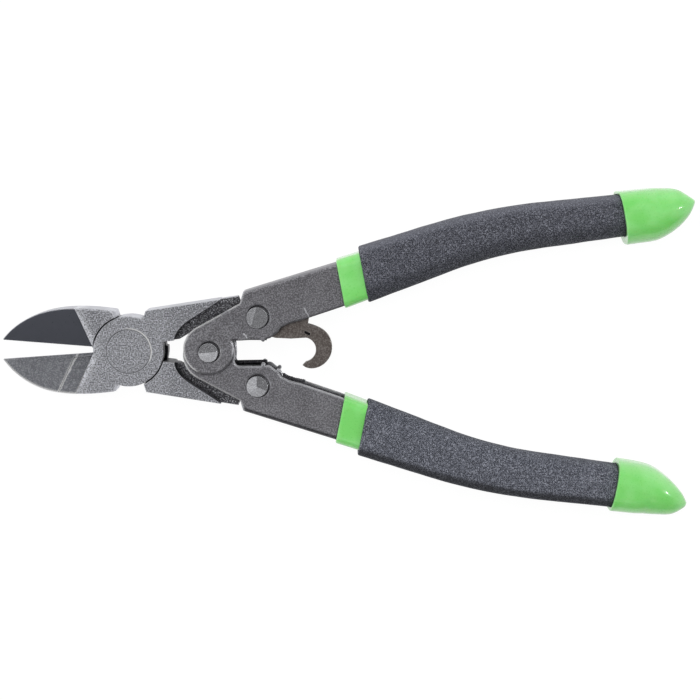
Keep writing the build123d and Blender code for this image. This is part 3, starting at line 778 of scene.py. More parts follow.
class Mesher:
    """Turns grids of points into closed meshes with outward faces."""

    @staticmethod
    def quads(rows: int, columns: int, closed: bool) -> Array:
        """Return the faces between neighbouring rows of a grid whose rows are rings.

        Args:
            rows: Number of rings.
            columns: Points in each ring.
            closed: Whether the last ring joins the first.

        Returns:
            Four point numbers for each face.
        """
        row = np.arange(rows if closed else rows - 1)[:, None]
        column = np.arange(columns)[None, :]
        after = (row + 1) % rows
        beside = (column + 1) % columns
        corners = [row * columns + column, row * columns + beside]
        corners += [after * columns + beside, after * columns + column]
        return np.stack(np.broadcast_arrays(*corners), axis=-1).reshape(-1, 4)

    @staticmethod
    def fan(ring: Array, pole: int) -> Array:
        """Return triangles that close a ring of point numbers onto a pole."""
        return np.stack([ring, np.roll(ring, -1), np.full(len(ring), pole)], axis=1)

    @classmethod
    def closed(cls, name: str, grid: Array, poles: tuple[Array, Array] | None = None) -> bpy.types.Object:
        """Make an object from a grid of rings in millimetres.

        The grid either runs round until its last ring meets its first, or ends in two poles. The
        mesh's volume, a sixth of the sum of each triangle's triple product, is made positive.

        Args:
            name: The object's name.
            grid: Points as rows, columns and three coordinates.
            poles: The points before the first ring and after the last, or none.

        Returns:
            The object, linked to the scene.
        """
        rows, columns, _ = grid.shape
        points = grid.reshape(-1, 3) * MM
        faces = cls.quads(rows, columns, closed=poles is None)
        triangles = np.concatenate([faces[:, [0, 1, 2]], faces[:, [0, 2, 3]]])
        sets = [faces.tolist()]
        if poles is not None:
            points = np.concatenate([points, np.stack(poles) * MM])
            first = cls.fan(np.arange(columns)[::-1], rows * columns)
            last = cls.fan(np.arange(columns) + (rows - 1) * columns, rows * columns + 1)
            triangles = np.concatenate([triangles, first, last])
            sets += [first.tolist(), last.tolist()]
        a, b, c = (points[triangles[:, corner]] for corner in range(3))
        volume = np.einsum("ij,ij->i", a, np.cross(b, c)).sum()
        listed = [face for group in sets for face in group]
        if volume < 0:
            listed = [face[::-1] for face in listed]
        mesh = bpy.data.meshes.new(name)
        mesh.from_pydata(points.tolist(), [], listed)
        mesh.shade_smooth()
        piece = bpy.data.objects.new(name, mesh)
        bpy.context.scene.collection.objects.link(piece)
        return piece

    @staticmethod
    def normals(grid: Array) -> Array:
        """Return a grid's unit normals: the cross products of its differences across and along.

        Args:
            grid: Points as rings, columns and three coordinates.

        Returns:
            One normal for each point.
        """
        along = np.gradient(grid, axis=0)
        across = np.roll(grid, -1, axis=1) - np.roll(grid, 1, axis=1)
        cross = np.cross(across, along)
        return cross / np.maximum(np.linalg.norm(cross, axis=-1, keepdims=True), 1e-9)


def smooth_step(share: Array) -> Array:
    """Return 3t^2 - 2t^3, which rises from 0 to 1 and is level at both ends."""
    return share * share * (3 - 2 * share)


class LatticeNoise:
    """Smooth noise from seeded random values on a cubic lattice."""

    def __init__(self, seed: int, cells: int = 32) -> None:
        """Draw the lattice once from its seed."""
        self.cells = cells
        self.table = np.random.default_rng(seed).random((cells, cells, cells))

    def at(self, points: Array, size: float) -> Array:
        """Return noise from -1 to 1 at points.

        Each point takes the eight lattice values round it, weighted by the product of smooth
        steps 3t^2 - 2t^3 of its share along each axis.

        Args:
            points: Points in millimetres, the last axis holding x, y and z.
            size: Size of a lattice cell in millimetres.

        Returns:
            One value for each point.
        """
        scaled = points / size
        base = np.floor(scaled).astype(int)
        share = smooth_step(scaled - base)
        total = np.zeros(points.shape[:-1])
        for corner in np.ndindex(2, 2, 2):
            index = (base + corner) % self.cells
            weight = np.prod(np.where(corner, share, 1 - share), axis=-1)
            total += weight * self.table[index[..., 0], index[..., 1], index[..., 2]]
        return 2 * total - 1


def through(places: list[Pair], count: int) -> Array:
    """Return a smooth line through plan points, leaving out the run before the second one.

    Each run is the cubic whose slopes at its ends are half the difference of their neighbours.

    Args:
        places: The points; the first only gives the slope at the second.
        count: Number of steps in each run.

    Returns:
        Points as rows of x and y.
    """
    known = np.array([*places, 2 * np.array(places[-1]) - np.array(places[-2])])
    share = np.linspace(0, 1, count, endpoint=False)[None, :, None]
    a, b, c, d = (known[start : len(known) - 3 + start, None] for start in range(4))
    curve = 2 * b + (c - a) * share + (2 * a - 5 * b + 4 * c - d) * share**2
    curve = (curve + (3 * b - a - 3 * c + d) * share**3) / 2
    return np.concatenate([curve.reshape(-1, 2), known[-2:-1]])


def bowed(start: Array, corner: Array, end: Array, count: int = 8) -> Array:
    """Return a line from start to end that leaves and arrives along the sides of a corner."""
    share = np.linspace(0, 1, count)[:, None]
    return (1 - share) ** 2 * start + 2 * share * (1 - share) * corner + share**2 * end


@dataclass(frozen=True)
class Rail:
    """One long edge of the handle in plan: a straight run, an arc and a straight run."""

    start: Pair
    headings: Pair
    bend_x: float
    bend_radius: float
    lead: float = 130.0

    def sampled(self, count: int = 90) -> tuple[Array, Array]:
        """Return points along the edge and the heading at each.

        A point of the arc at heading h is the arc's centre plus its radius times (-sin h, cos h).

        Args:
            count: Number of points on the arc.

        Returns:
            The points as rows of x and y, and the headings in radians.
        """
        into, out = np.radians(self.headings)
        ahead = self.bend_x - self.start[0]
        bend = np.array([self.bend_x, self.start[1] + ahead * np.tan(into)])
        centre = bend + self.bend_radius * np.array([np.sin(into), -np.cos(into)])
        heading = np.linspace(into, out, count)
        arc = centre + self.bend_radius * np.stack([-np.sin(heading), np.cos(heading)], axis=1)
        before = arc[0] - self.lead * np.array([np.cos(into), np.sin(into)])
        after = arc[-1] + self.lead * np.array([np.cos(out), np.sin(out)])
        points = np.concatenate([before[None], arc, after[None]])
        return points, np.concatenate([[into], heading, [out]])


@dataclass(frozen=True)
class Course:
    """The handle's course: its two edges, cut by parallel planes that lean back."""

    outer: Rail = Rail((43.6, 22.3), (17.3, 5.8), 108.0, 214.0)
    inner: Rail = Rail((76.2, 16.3), (21.0, 8.3), 115.0, 154.0)
    lean: float = 11.0
    datum: Pair = (80.0, 26.0)
    datum_slope: float = 0.24

    @property
    def rise(self) -> float:
        """Return how far a cutting plane goes back for each millimetre outward."""
        return math.tan(math.radians(self.lean))

    def middle(self, station: Array) -> Array:
        """Return the distance from the tool's axis at which a station's plane has its X."""
        return self.datum[1] + (station - self.datum[0]) * self.datum_slope

    def stations(self, points: Array) -> Array:
        """Return the station of the cutting plane that each plan point lies on."""
        offset = self.datum[1] - self.datum[0] * self.datum_slope
        return (points[:, 0] + (points[:, 1] - offset) * self.rise) / (1 + self.datum_slope * self.rise)

    def met(self, points: Array, station: Array) -> Array:
        """Return the y at which the cutting planes meet a line through plan points."""
        return np.interp(station, self.stations(points), points[:, 1])

    def crossing(self, rail: Rail, station: Array, shift: Array | float) -> Array:
        """Return where the cutting planes meet an edge that is shifted outward or inward.

        A plane at station s holds the points with x = s - (y - middle(s)) * rise. A shift moves
        the meeting point along the plane by the shift over the cosine between plane and edge.

        Args:
            rail: The edge.
            station: The stations of the planes.
            shift: Shift of the edge, positive away from the tool's axis.

        Returns:
            The y of each meeting point.
        """
        points, headings = rail.sampled()
        lean = math.radians(self.lean)
        turn = np.interp(station, self.stations(points), headings) - lean
        return self.met(points, station) + shift * math.cos(lean) / np.cos(turn)

    def spread(self, station: Array, across: Array, height: Array, side: Side) -> Array:
        """Return points of the part's frame from each plane's station, upper-side y and height."""
        x = station - (across - self.middle(station)) * self.rise
        return np.stack([x, side.sign * across, height + MID_HEIGHT], axis=-1)


@dataclass
class Sections:
    """Rounded box sections of a grip, one for each row of its surface."""

    station: Array
    outer: Array
    inner: Array
    half: Array
    outer_corner: Array
    inner_corner: Array

    def blended(self, other: "Sections", share: Array) -> "Sections":
        """Return sections part of the way from these to the other ones."""
        pairs = ((getattr(self, field.name), getattr(other, field.name)) for field in fields(self))
        return Sections(*[(1 - share) * here + share * there for here, there in pairs])

    def rings(self, course: Course, side: Side, arc: int = 8, flat: int = 16, edge: int = 8) -> Array:
        """Return one ring of points for each section.

        A ring is four quarter circles of the corner radii joined by straight runs, in the order
        outer top, inner top, inner bottom, outer bottom.

        Args:
            course: The handle's course.
            side: The handle.
            arc: Points on each corner.
            flat: Points along each broad face.
            edge: Points along each narrow face.

        Returns:
            Points as rows, columns and three coordinates.
        """
        scale = 1 / math.cos(math.radians(course.lean))
        width = (self.outer - self.inner) * scale
        corners = []
        for number in range(4):
            outward = number in (0, 3)
            radius = self.outer_corner if outward else self.inner_corner
            radius = np.minimum(radius, np.minimum(self.half, width / 2) * 0.98)
            turn = np.radians(90 * number + np.linspace(0, 90, arc))
            centre = width - radius if outward else radius
            top = self.half - radius if number < 2 else radius - self.half
            across = centre[:, None] + radius[:, None] * np.cos(turn)
            height = top[:, None] + radius[:, None] * np.sin(turn)
            corners.append(np.stack([across, height], axis=-1))
        ring = []
        for number, count in enumerate((flat, edge, flat, edge)):
            here, after = corners[number], corners[(number + 1) % 4]
            share = np.linspace(0, 1, count + 2)[1:-1, None]
            ring += [here, here[:, -1:] * (1 - share) + after[:, :1] * share]
        local = np.concatenate(ring, axis=1)
        across = self.inner[:, None] + local[..., 0] / scale
        station = np.broadcast_to(self.station[:, None], across.shape)
        return course.spread(station, across, local[..., 1], side)


@dataclass(frozen=True)
class Skin:
    """One skin of a grip: how far it lies outside the channel, and its corners."""

    over: float
    under: float
    half: float
    outer_corner: float
    inner_corner: float

    def sections(self, course: Course, station: Array, inset: Array) -> Sections:
        """Return this skin's sections at stations, each sunk by an inset."""
        return Sections(
            station=station,
            outer=course.crossing(course.outer, station, self.over - inset),
            inner=course.crossing(course.inner, station, inset - self.under),
            half=self.half - inset,
            outer_corner=np.maximum(self.outer_corner - inset, 0.3),
            inner_corner=np.maximum(self.inner_corner - inset, 0.3),
        )


@dataclass(frozen=True)
class Tube:
    """A grip layer: a skin, a wall, and rounded lips at both ends."""

    skin: Skin
    wall: float
    front: float
    end: float
    lip: float
    pitch: float = 0.8

    def profile(self) -> tuple[Array, Array]:
        """Return the layer's closed profile as stations and insets.

        It runs along the outside from the front lip to the end, turns in, comes back along the
        inside and rounds the front lip. A lip is a quarter circle of its radius.

        Returns:
            The stations and the insets.
        """
        turn = np.radians(np.linspace(0, 90, 7))
        count = max(8, int((self.end - self.front) / self.pitch))
        outside = np.linspace(self.front + self.lip, self.end - self.lip, count)
        inside = outside[::-6]
        drop = self.lip * (1 - np.cos(turn))
        reach = self.lip * (1 - np.sin(turn))
        ends = [
            (self.front + reach[::-1], drop[::-1]),
            (outside[1:-1], np.zeros(count - 2)),
            (self.end - reach, drop),
            (np.full(2, self.end), np.array([self.lip + 0.1, self.wall - 0.1])),
            (inside, np.full(len(inside), self.wall)),
            (np.full(2, self.front), np.array([self.wall - 0.1, self.lip + 0.1])),
        ]
        return np.concatenate([e[0] for e in ends]), np.concatenate([e[1] for e in ends])

    def surface(self, course: Course, side: Side) -> Array:
        """Return the layer's closed grid of points."""
        station, inset = self.profile()
        return self.skin.sections(course, station, inset).rings(course, side)


@dataclass(frozen=True)
class Nose:
    """Plan of one end cap's nose, and how far the cap lies outside the channel.

    The two caps were pushed on by hand, so they sit a little differently on their sleeves.
    """

    front: float
    over: float
    under: float
    bend: Pair
    shoulder: Pair
    cheek: Pair
    tip: Pair
    belly: tuple[Pair, ...]


NOSES = {
    Side.UPPER: Nose(
        176.7, 4.2, 5.5, (187.3, 59.02), (195.9, 59.08), (201.8, 55.2), (202.5, 54.3),
        ((176.0, 38.35), (183.0, 39.37), (189.9, 40.6), (196.1, 44.5), (200.2, 49.2)),
    ),
    Side.LOWER: Nose(
        175.9, 4.4, 4.5, (186.8, 59.2), (196.9, 59.25), (201.4, 56.4), (202.4, 54.8),
        ((175.0, 39.2), (182.0, 40.22), (190.0, 42.2), (196.2, 46.4), (200.3, 50.9)),
    ),
}


@dataclass(frozen=True)
class Grip:
    """The three grip layers of one handle: liner with its collar, sleeve and end cap."""

    side: Side
    course: Course = Course()
    liner: Tube = Tube(Skin(1.2, 1.2, 7.75, 3.1, 3.6), 1.1, 76.1, 186.5, 0.55)
    sleeve: Tube = Tube(Skin(3.0, 2.4, 9.55, 4.9, 8.0), 1.15, 84.5, 186.5, 0.7, 0.5)
    cap_half: float = 11.25
    cap_corners: Pair = (6.6, 9.2)
    cap_lip: float = 0.45
    cap_bore: Skin = Skin(3.05, 2.45, 9.6, 4.95, 8.05)
    cap_floor: float = 189.5
    bore_rows: int = 12
    lip_depth: float = 0.2
    lip_flare: float = 0.15
    lip_shares: tuple[float, ...] = (0.1, 0.5, 1.0)
    rim_rows: int = 6
    nose_rows: int = 90
    nose_crowding: float = 2.2
    nose_half: float = 4.0
    ease_x: float = 189.8
    round_lead: float = 6.0
    round_run: float = 10.0
    round_gain: float = 4.0
    shoulder_ease: float = 2.6
    tip_ease: float = 0.75
    belly_steps: int = 24
    wave_seed: int = 4
    wave_size: float = 5.0
    wave_height: float = 0.08

    @property
    def nose(self) -> Nose:
        """The plan of this side's cap."""
        return NOSES[self.side]

    @property
    def cap(self) -> Skin:
        """The outer skin of this side's cap."""
        return Skin(self.nose.over, self.nose.under, self.cap_half, *self.cap_corners)

    def build(self, finishes: "Finishes") -> list[bpy.types.Object]:
        """Make the three pieces, dress them and let them ride on the handle.

        Args:
            finishes: The part's materials.

        Returns:
            The pieces.
        """
        name = self.side.value
        liner, sleeve = (layer.surface(self.course, self.side) for layer in (self.liner, self.sleeve))
        collar = Mesher.closed(f"{name}_liner_and_collar", liner)
        sleeve = Mesher.closed(f"{name}_grained_sleeve", self.grained(sleeve))
        cap = self.capped(f"{name}_pointed_cap")
        rows = [
            (collar, f"{name}_liner", finishes.vinyl, "green_vinyl"),
            (sleeve, f"{name}_grip_sleeve", finishes.grips[self.side], "dark_grip"),
            (cap, f"{name}_end_cap", finishes.vinyl, "green_vinyl"),
        ]
        for piece, node, material, slot in rows:
            piece.data.materials.append(material)
            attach(piece, self.side.body)
            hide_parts(node)
        return [row[0] for row in rows]

    def grained(self, grid: Array) -> Array:
        """Return the sleeve's grid with slow waves pushed along its normals."""
        waves = LatticeNoise(self.wave_seed).at(grid, self.wave_size) * self.wave_height
        return grid + Mesher.normals(grid) * waves[..., None]

    def capped(self, name: str) -> bpy.types.Object:
        """Make the end cap: a shell with an open front and a closed pointed nose.

        Args:
            name: The piece's name.

        Returns:
            The piece.
        """
        nose = self.nose_sections()
        back = np.linspace(self.nose.front + self.lip_depth, self.cap_floor, self.bore_rows)
        inside = self.cap_bore.sections(self.course, back, np.zeros(self.bore_rows))
        share = np.array(self.lip_shares)
        mouth = np.full(len(share), self.nose.front)
        outer_lip = self.cap.sections(self.course, mouth, np.full(len(share), self.cap_lip))
        inner_lip = self.cap_bore.sections(self.course, mouth, np.full(len(share), -self.lip_flare))
        lip = outer_lip.blended(inner_lip, share)
        grids = [part.rings(self.course, self.side) for part in (nose, lip, inside)]
        grid = np.concatenate([grids[0][::-1], grids[1], grids[2]])
        tip = grids[0][-1].mean(axis=0)
        floor = grids[2][-1].mean(axis=0)
        return Mesher.closed(name, grid, (tip, floor))

    def nose_sections(self) -> Sections:
        """Return the cap's outer sections from its rim to its point.

        The rim is rounded by a quarter circle. Past the shoulder the outer edge runs down a slant
        and round the tip, where the belly's curve meets it. The half thickness eases as the root
        of one less t squared.

        Returns:
            The sections.
        """
        turn = np.radians(np.linspace(0, 90, self.rim_rows))
        rim = self.nose.front + self.cap_lip * (1 - np.sin(turn))
        inset = self.cap_lip * (1 - np.cos(turn))
        share = 1 - (1 - np.linspace(0, 1, self.nose_rows)[1:]) ** self.nose_crowding
        course = self.course
        crown_and_sheen, belly = self.nose_lines()
        reach = course.stations(crown_and_sheen)[-1]
        front = self.nose.front + self.cap_lip
        station = np.concatenate([rim[::-1], front + (reach - front) * share])
        sunk = np.concatenate([inset[::-1], np.zeros(len(share))])
        sections = self.cap.sections(course, station, sunk)
        past = station > course.stations(crown_and_sheen)[0]
        sections.outer = np.where(past, course.met(crown_and_sheen, station), sections.outer)
        below = station > course.stations(belly)[0]
        sections.inner = np.where(below, course.met(belly, station), sections.inner)
        middle = (sections.outer + sections.inner) / 2
        x = station - (middle - course.middle(station)) * course.rise
        thin = np.clip((x - self.ease_x) / (self.nose.tip[0] - self.ease_x), 0, 1)
        eased = self.nose_half + (self.cap.half - self.nose_half) * np.sqrt(1 - thin**2)
        sections.half = np.minimum(sections.half, eased)
        past_rounding = np.clip((x - self.ease_x + self.round_lead) / self.round_run, 0, 1)
        rounder = smooth_step(past_rounding) * self.round_gain
        sections.outer_corner = sections.outer_corner + rounder
        sections.inner_corner = sections.inner_corner + rounder
        return sections

    def nose_lines(self) -> tuple[Array, Array]:
        """Return the plan of the nose.

        Returns:
            The slant from the shoulder to the tip, and the belly to the tip.
        """
        nose = self.nose
        places = (nose.bend, nose.shoulder, nose.cheek, nose.tip)
        bend, shoulder, cheek, tip = (np.array(place) for place in places)
        before = shoulder + (bend - shoulder) / np.linalg.norm(bend - shoulder) * self.shoulder_ease
        ahead = (cheek - shoulder) / np.linalg.norm(cheek - shoulder)
        after = shoulder + ahead * self.shoulder_ease
        tip_run = bowed(cheek, cheek + ahead * self.tip_ease, tip)
        crown_and_sheen = [bend[None], bowed(before, shoulder, after), tip_run]
        return np.concatenate(crown_and_sheen), through([*nose.belly, nose.tip], self.belly_steps)


@dataclass(frozen=True)
class Finishes:
    """Every material of the part."""

    front_jaw: bpy.types.Material
    rear_jaw: bpy.types.Material
    pressed: bpy.types.Material
    rivet: bpy.types.Material
    spring: bpy.types.Material
    lap: bpy.types.Material
    hook: bpy.types.Material
    vinyl: bpy.types.Material
    grips: dict[Side, bpy.types.Material]

    @classmethod
    def mixed(cls) -> "Finishes":
        """Make the materials.

        Returns:
            The materials.
        """
        edge = (226, 227, 232)
        pressed = PressedSteel(
            "pressed_steel", (151, 150, 155), (197, 197, 203), (106, 104, 108), edge,
            Blast(strength=0.62), break_radius=1.5,
        )
        rivet = PlainSteel(
            "rivet_steel", (186, 187, 191), (226, 227, 232), (140, 139, 143), edge,
            Blast(strength=0.4), roughness=0.22, relief=0.012,
        )
        spring = PlainSteel(
            "spring_steel", (84, 83, 87), (120, 120, 124), (56, 55, 58), (170, 170, 175), corner_shade=0.4
        )
        # painted shade: the rear lap disc's edge between the arms is steel painted near black
        lap = PlainSteel("shaded_lap_steel", (56, 57, 62), (72, 72, 77), (42, 42, 46), (64, 64, 68))
        hook = PlainSteel(
            "hook_steel", (138, 131, 127), (172, 165, 160), (98, 88, 83), (214, 208, 202), Blast(strength=0.5)
        )
        # painted light: one grip material in two copies, the lower one paler for the sheen on it, each lit and
        # shaded by its own amounts
        upper = GrainedGrip("upper_grip", (144, 146, 157), (80, 82, 92), (40, 41, 48), 0.3, 0.3)
        lower = GrainedGrip("lower_grip", (164, 167, 179), (94, 97, 108), (50, 52, 60), 0.0, 0.75)
        return cls(
            front_jaw=ForgedSteel("front_jaw_forged_steel", dark_bevel_up=False).dress(),
            rear_jaw=ForgedSteel("rear_jaw_forged_steel", dark_bevel_up=True).dress(),
            pressed=pressed.dress(),
            rivet=rivet.dress(),
            spring=spring.dress(),
            lap=lap.dress(),
            hook=hook.dress(),
            vinyl=Vinyl("green_vinyl").dress(),
            grips={Side.UPPER: upper.dress(), Side.LOWER: lower.dress()},
        )


@dataclass(frozen=True)
class Steelwork:
    """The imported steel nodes, which keep their shape and take their finishes."""

    def dress(self, finishes: Finishes) -> int:
        """Give every steel node its material.

        Args:
            finishes: The part's materials.

        Returns:
            The number of nodes dressed.
        """
        dressed = {
            "front_jaw": finishes.front_jaw,
            "rear_jaw": finishes.rear_jaw,
            "joint_rivet": finishes.front_jaw,
            "latch_hook": finishes.hook,
            "latch_wave_washer": finishes.spring,
        }
        for side in Side:
            dressed[f"{side.value}_handle_channel"] = finishes.pressed
            dressed[f"{side.value}_arm_rivet"] = finishes.rivet
            dressed[f"{side.value}_arm_washer"] = finishes.rivet
        dressed |= dict.fromkeys(("handle_pivot_rivet", "pivot_spacer_bush"), finishes.rivet)
        for name, material in dressed.items():
            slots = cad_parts[name].data.materials
            slots.clear()
            slots.append(material)
        return len(dressed)


@dataclass(frozen=True)
class Wire:
    """A round bar along a course, thicker and thinner by a random amount, with closed ends."""

    name: str
    course: Array
    radius: float
    body: str
    uneven: float = 0.0
    seed: int = 0
    sides: int = 16

    def build(self, material: bpy.types.Material, slot: str) -> bpy.types.Object:
        """Make the bar, dress it and let it ride on its body.

        Each ring stands across the course; its two directions are the cross products of the
        course's direction with a fixed upright and with each other.

        Args:
            material: The bar's material.
            slot: A name for its material; not used.

        Returns:
            The piece.
        """
        along = np.gradient(self.course, axis=0)
        along /= np.linalg.norm(along, axis=1, keepdims=True)
        level = np.cross(along, np.array([0.0, 0.0, 1.0]))
        level /= np.linalg.norm(level, axis=1, keepdims=True)
        upright = np.cross(level, along)
        turn = np.linspace(0, 2 * np.pi, self.sides, endpoint=False)[None, :, None]
        jitter = np.random.default_rng(self.seed).uniform(-1, 1, (len(self.course), 1, 1))
        radius = self.radius * (1 + self.uneven * jitter)
        around = np.cos(turn) * level[:, None] + np.sin(turn) * upright[:, None]
        grid = self.course[:, None] + radius * around
        piece = Mesher.closed(self.name, grid, (self.course[0], self.course[-1]))
        piece.data.materials.append(material)
        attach(piece, self.body)
        return piece


@dataclass(frozen=True)
class Spring:
    """The opening spring in two pieces, so that each leg stays with the handle that it pushes."""

    wire: float = 0.8
    coil: float = 5.0
    turns: int = 2
    gap: float = 0.04
    clear: float = 7.85
    upper_level: float = MID_HEIGHT + 1.5
    end_x: float = 49.6
    coil_steps: int = 140
    leg_steps: int = 24

    def build(self, material: bpy.types.Material) -> list[bpy.types.Object]:
        """Wind the coil with its upper leg, and lay the lower leg as a piece of its own.

        Args:
            material: The wire's material.

        Returns:
            The pieces.
        """
        rivets = ("handle_pivot_rivet", "upper_arm_rivet", "lower_arm_rivet")
        hinge, upper, lower = (np.mean(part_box(name), axis=0)[:2] / MM for name in rivets)
        upper_leg, lower_leg = self.leg(hinge, upper, 1.0), self.leg(hinge, lower, -1.0)
        last, first = (math.atan2(*(leg[0] - hinge)[::-1]) for leg in (upper_leg, lower_leg))
        sweep = 2 * math.pi * self.turns + (first - last) % (2 * math.pi)
        height = sweep / (2 * math.pi) * (2 * self.wire + self.gap)
        share = np.linspace(0, 1, self.coil_steps)
        turn = first - sweep * share
        plan = hinge + self.coil * np.column_stack([np.cos(turn), np.sin(turn)])
        low = self.upper_level - height
        coil = np.column_stack([plan, low + height * share])
        wound = np.concatenate([coil, self.laid(upper_leg, self.upper_level)[1:]])
        rows = [
            ("spring_coil", wound, Side.UPPER),
            ("spring_lower_leg", self.laid(lower_leg, low), Side.LOWER),
        ]
        wires = [Wire(name, run, self.wire, side.body) for name, run, side in rows]
        pieces = [wire.build(material, "spring_steel") for wire in wires]
        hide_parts("opening_spring")
        return pieces

    def leg(self, hinge: Array, pin: Array, side: float) -> Array:
        """Return the plan of a leg, which touches the coil and the eye round an arm's rivet.

        Args:
            hinge: The middle of the coil.
            pin: The rivet in the arm's eye.
            side: 1 for the upper leg and -1 for the lower.

        Returns:
            Both ends of the leg.
        """
        apart = pin - hinge
        opening = math.acos((self.coil + self.clear) / math.hypot(*apart))
        lean = math.atan2(apart[1], apart[0]) + side * opening
        across = np.array([math.cos(lean), math.sin(lean)])
        start, contact = hinge + self.coil * across, pin - self.clear * across
        stretch = (self.end_x - start[0]) / (contact[0] - start[0])
        return np.array([start, start + stretch * (contact - start)])

    def laid(self, leg: Array, level: float) -> Array:
        """Return a straight leg as a course at a height."""
        plan = leg[0] + np.linspace(0, 1, self.leg_steps)[:, None] * (leg[1] - leg[0])
        return np.column_stack([plan, np.full(len(plan), level)])


@dataclass(frozen=True)
class ShearMarks:
    """What the press left on the lower channel's inner edge: a ragged strip and a curl, in steels painted darker
    and brighter as shade and a glint.
    """

    level: float = 12.0
    steps: int = 9
    strip: tuple[Pair, ...] = ((55.6, -7.9), (57.4, -8.9), (59.6, -9.7), (61.6, -10.1), (63.6, -10.5))
    curl: tuple[Pair, ...] = ((53.6, -6.6), (54.6, -6.9), (55.2, -7.6), (55.4, -8.6))

    def build(self, finishes: Finishes) -> list[bpy.types.Object]:
        """Make both marks, which ride on the lower handle.

        Args:
            finishes: The part's materials.

        Returns:
            The pieces.
        """
        # painted light: the ragged strip takes a dark steel for shade, and the curl a bright one for a glint
        rows = [
            ("ragged_strip", self.strip, -0.35, 0.55, 0.28, 3, finishes.spring),
            ("bright_curl", self.curl, 0.3, 0.24, 0.2, 5, finishes.rivet),
        ]
        pieces = []
        for name, places, rise, radius, uneven, seed, material in rows:
            course = self.raised(places, self.level + rise)
            mark = Wire(name, course, radius, "lower_handle", uneven, seed)
            pieces.append(mark.build(material, "pressed_steel"))
        return pieces

    def raised(self, places: tuple[Pair, ...], level: float) -> Array:
        """Return a smooth course through plan points at a height.

        Args:
            places: The plan points.
            level: The height.

        Returns:
            Points in millimetres.
        """
        before = (2 * places[0][0] - places[1][0], 2 * places[0][1] - places[1][1])
        plan = through([before, *places], self.steps)
        return np.column_stack([plan, np.full(len(plan), level)])


@dataclass(frozen=True)
class LapEdge:
    """The edge of the rear lap disc, which stands out past the front one between the arms.

    From the angle flush_from upward its radius is flush, since the front jaw's pocket passes there.
    """

    inner: float = 12.72
    outer: float = 13.65
    flush: float = 12.98
    flush_from: float = 6.0
    half_angle: float = 15.5
    low: float = 0.4
    high: float = 5.6
    steps: int = 40

    def build(self, material: bpy.types.Material) -> bpy.types.Object:
        """Make the edge as a bent bar of square section that rides on the rear jaw.

        Args:
            material: The bar's material.

        Returns:
            The piece.
        """
        turn = np.radians(np.linspace(-self.half_angle, self.half_angle, self.steps))
        outer = np.where(turn < math.radians(self.flush_from), self.outer, self.flush)
        inner = np.full(len(turn), self.inner)
        around = np.column_stack([inner, outer, outer, inner])
        level = np.broadcast_to([self.low, self.low, self.high, self.high], around.shape)
        grid = np.stack([around * np.cos(turn)[:, None], around * np.sin(turn)[:, None], level], axis=2)
        piece = Mesher.closed("rear_lap_edge", grid, (grid[0].mean(axis=0), grid[-1].mean(axis=0)))
        piece.data.shade_flat()
        piece.data.materials.append(material)
        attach(piece, "rear_jaw")
        return piece


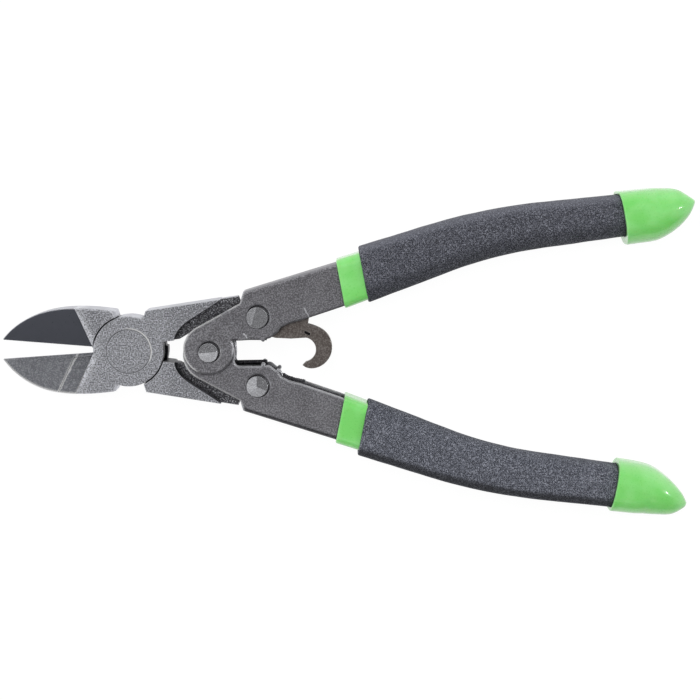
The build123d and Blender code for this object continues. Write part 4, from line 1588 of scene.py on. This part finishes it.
@dataclass(frozen=True)
class Studio:
    """Camera, floor, sky and lamps."""

    lens: float = 85.0
    sensor: float = 36.0
    distance: float = 600.0
    tilt: float = 6.8
    roll: float = 0.2
    aim: Pair = (79.7, 0.15)
    overhead: float = 0.27
    floor_glow: float = 0.955
    floor_paint: float = 0.08
    floor_size: float = 3.0
    hidden_floor: tuple[float, float, float, float] = (0.8, 0.8, 0.8, 1.0)
    clip: Pair = (0.01, 20.0)

    def build(self) -> None:
        """Set up everything that isn't the part."""
        self.camera()
        self.floor()
        self.sky()
        self.lamps()
        bpy.context.scene.view_settings.view_transform = "Standard"

    def camera(self) -> None:
        """Place the camera over the tool, tilted a little towards its upper handle."""
        tilt, roll = math.radians(self.tilt), math.radians(self.roll)
        ahead = Vector((0.0, -math.sin(tilt), -math.cos(tilt)))
        level = Vector((1.0, 0.0, 0.0))
        upright = level.cross(ahead)
        right = level * math.cos(roll) + upright * math.sin(roll)
        up = upright * math.cos(roll) - level * math.sin(roll)
        place = Vector((self.aim[0], self.aim[1], MID_HEIGHT)) - ahead * self.distance
        lens = bpy.data.cameras.new("photo_camera")
        lens.lens, lens.sensor_width = self.lens, self.sensor
        lens.clip_start, lens.clip_end = self.clip
        camera = bpy.data.objects.new("photo_camera", lens)
        turn = Matrix((right, up, -ahead)).transposed().to_4x4()
        camera.matrix_world = Matrix.Translation(place * MM) @ turn
        bpy.context.scene.collection.objects.link(camera)
        bpy.context.scene.camera = camera

    def floor(self) -> None:
        """Lay a plain floor under the part, white to the camera but for the part's shadow."""
        size, level = self.floor_size, cad_box[0].z
        corners = [(x * size, y * size, level) for x, y in ((-1, -1), (1, -1), (1, 1), (-1, 1))]
        mesh = bpy.data.meshes.new("floor")
        mesh.from_pydata(corners, [], [(0, 1, 2, 3)])
        floor = bpy.data.objects.new("floor", mesh)
        bpy.context.scene.collection.objects.link(floor)
        graph = Surface("floor_paint")
        rays = graph.node("ShaderNodeLightPath").outputs
        camera, glossy, through_glass = (
            Signal(graph, rays[f"Is {kind} Ray"]) for kind in ("Camera", "Glossy", "Transmission")
        )
        seen = camera + glossy + through_glass
        paint = (self.floor_paint,) * 3 + (1.0,)
        shaded = graph.node("ShaderNodeBsdfDiffuse", inputs={"Color": paint})
        glow = graph.node("ShaderNodeEmission", inputs={"Strength": self.floor_glow})
        both = graph.node("ShaderNodeAddShader", inputs={0: shaded.outputs[0], 1: glow.outputs[0]})
        plain = graph.node("ShaderNodeBsdfDiffuse", inputs={"Color": self.hidden_floor})
        parts = {0: seen.between(0.0, 1.0), 1: plain.outputs[0], 2: both.outputs[0]}
        graph.feed(graph.output.inputs[0], graph.node("ShaderNodeMixShader", inputs=parts).outputs[0])
        graph.tree.nodes.remove(graph.shader)
        mesh.materials.append(graph.material)

    def sky(self) -> None:
        """Light the part by a soft sky: white low down, grey overhead, dark past the lower handle."""
        world = bpy.data.worlds.new("studio_sky")
        bpy.context.scene.world = world
        world.use_nodes = True
        graph = Graph(world.node_tree, "Generated")
        x, y, z = graph.split(graph.place)
        glow = 1.0 - z.between(0.2, 0.72) * (1.0 - self.overhead)
        glow = glow * (1.0 - z.between(0.45, 0.6) * y.between(0.35, 0.6) * 0.2)
        high = z.between(0.7, 0.78)
        dark = z.between(0.05, 0.15) * (0.0 - y).between(0.4, 0.55) * x.between(-0.55, -0.38)
        glow = glow * (1.0 - dark * (1.0 - high) * 0.92)
        panel = (x * -0.8 - y * 0.7).between(0.2, 0.32) * high
        glow = glow + panel * 0.8
        colour = graph.mixed(glow, (0, 0, 0), (255, 255, 255))
        light = graph.node("ShaderNodeBackground", inputs={"Color": colour})
        white = graph.node("ShaderNodeBackground", inputs={"Color": (1.0, 1.0, 1.0, 1.0)})
        seen = graph.node("ShaderNodeLightPath").outputs["Is Camera Ray"]
        mix = graph.node("ShaderNodeMixShader", inputs={0: seen, 1: light.outputs[0], 2: white.outputs[0]})
        graph.node("ShaderNodeOutputWorld", inputs={0: mix.outputs[0]})

    def lamps(self) -> None:
        """Hang a broad soft lamp that no shiny surface shows, and a small one that they do."""
        broad = self.lamp("broad", (-60.0, 260.0, 700.0), 400.0, 3.2)
        broad.visible_glossy = False
        self.lamp("small", (760.0, 140.0, 560.0), 70.0, 0.9)

    def lamp(
        self, name: str, place: tuple[float, float, float], size: float, power: float
    ) -> bpy.types.Object:
        """Hang one square lamp that looks at the middle of the part.

        Args:
            name: The lamp's name.
            place: Where it hangs, in millimetres.
            size: Its side, in millimetres.
            power: Its power in watts.

        Returns:
            The lamp.
        """
        light = bpy.data.lights.new(name, "AREA")
        light.shape, light.size, light.energy = "SQUARE", size * MM, power
        lamp = bpy.data.objects.new(name, light)
        middle = (cad_box[0] + cad_box[1]) / 2
        lamp.location = Vector(place) * MM
        lamp.rotation_euler = (middle - lamp.location).to_track_quat("-Z", "Y").to_euler()
        bpy.context.scene.collection.objects.link(lamp)
        return lamp


def main() -> None:
    """Build the part's looks, and log the dressed nodes, each grip piece and the number of small pieces."""
    logging.basicConfig(level=logging.INFO, format="%(name)s: %(message)s")
    finishes = Finishes.mixed()
    log.info("%d steel nodes dressed", Steelwork().dress(finishes))
    for side in Side:
        for piece in Grip(side).build(finishes):
            log.info("%s: %d faces", piece.name, len(piece.data.polygons))
    extras = [*Spring().build(finishes.spring), *ShearMarks().build(finishes)]
    extras.append(LapEdge().build(finishes.lap))
    log.info("%d small pieces", len(extras))
    Studio().build()


if __name__ == "__main__":
    main()
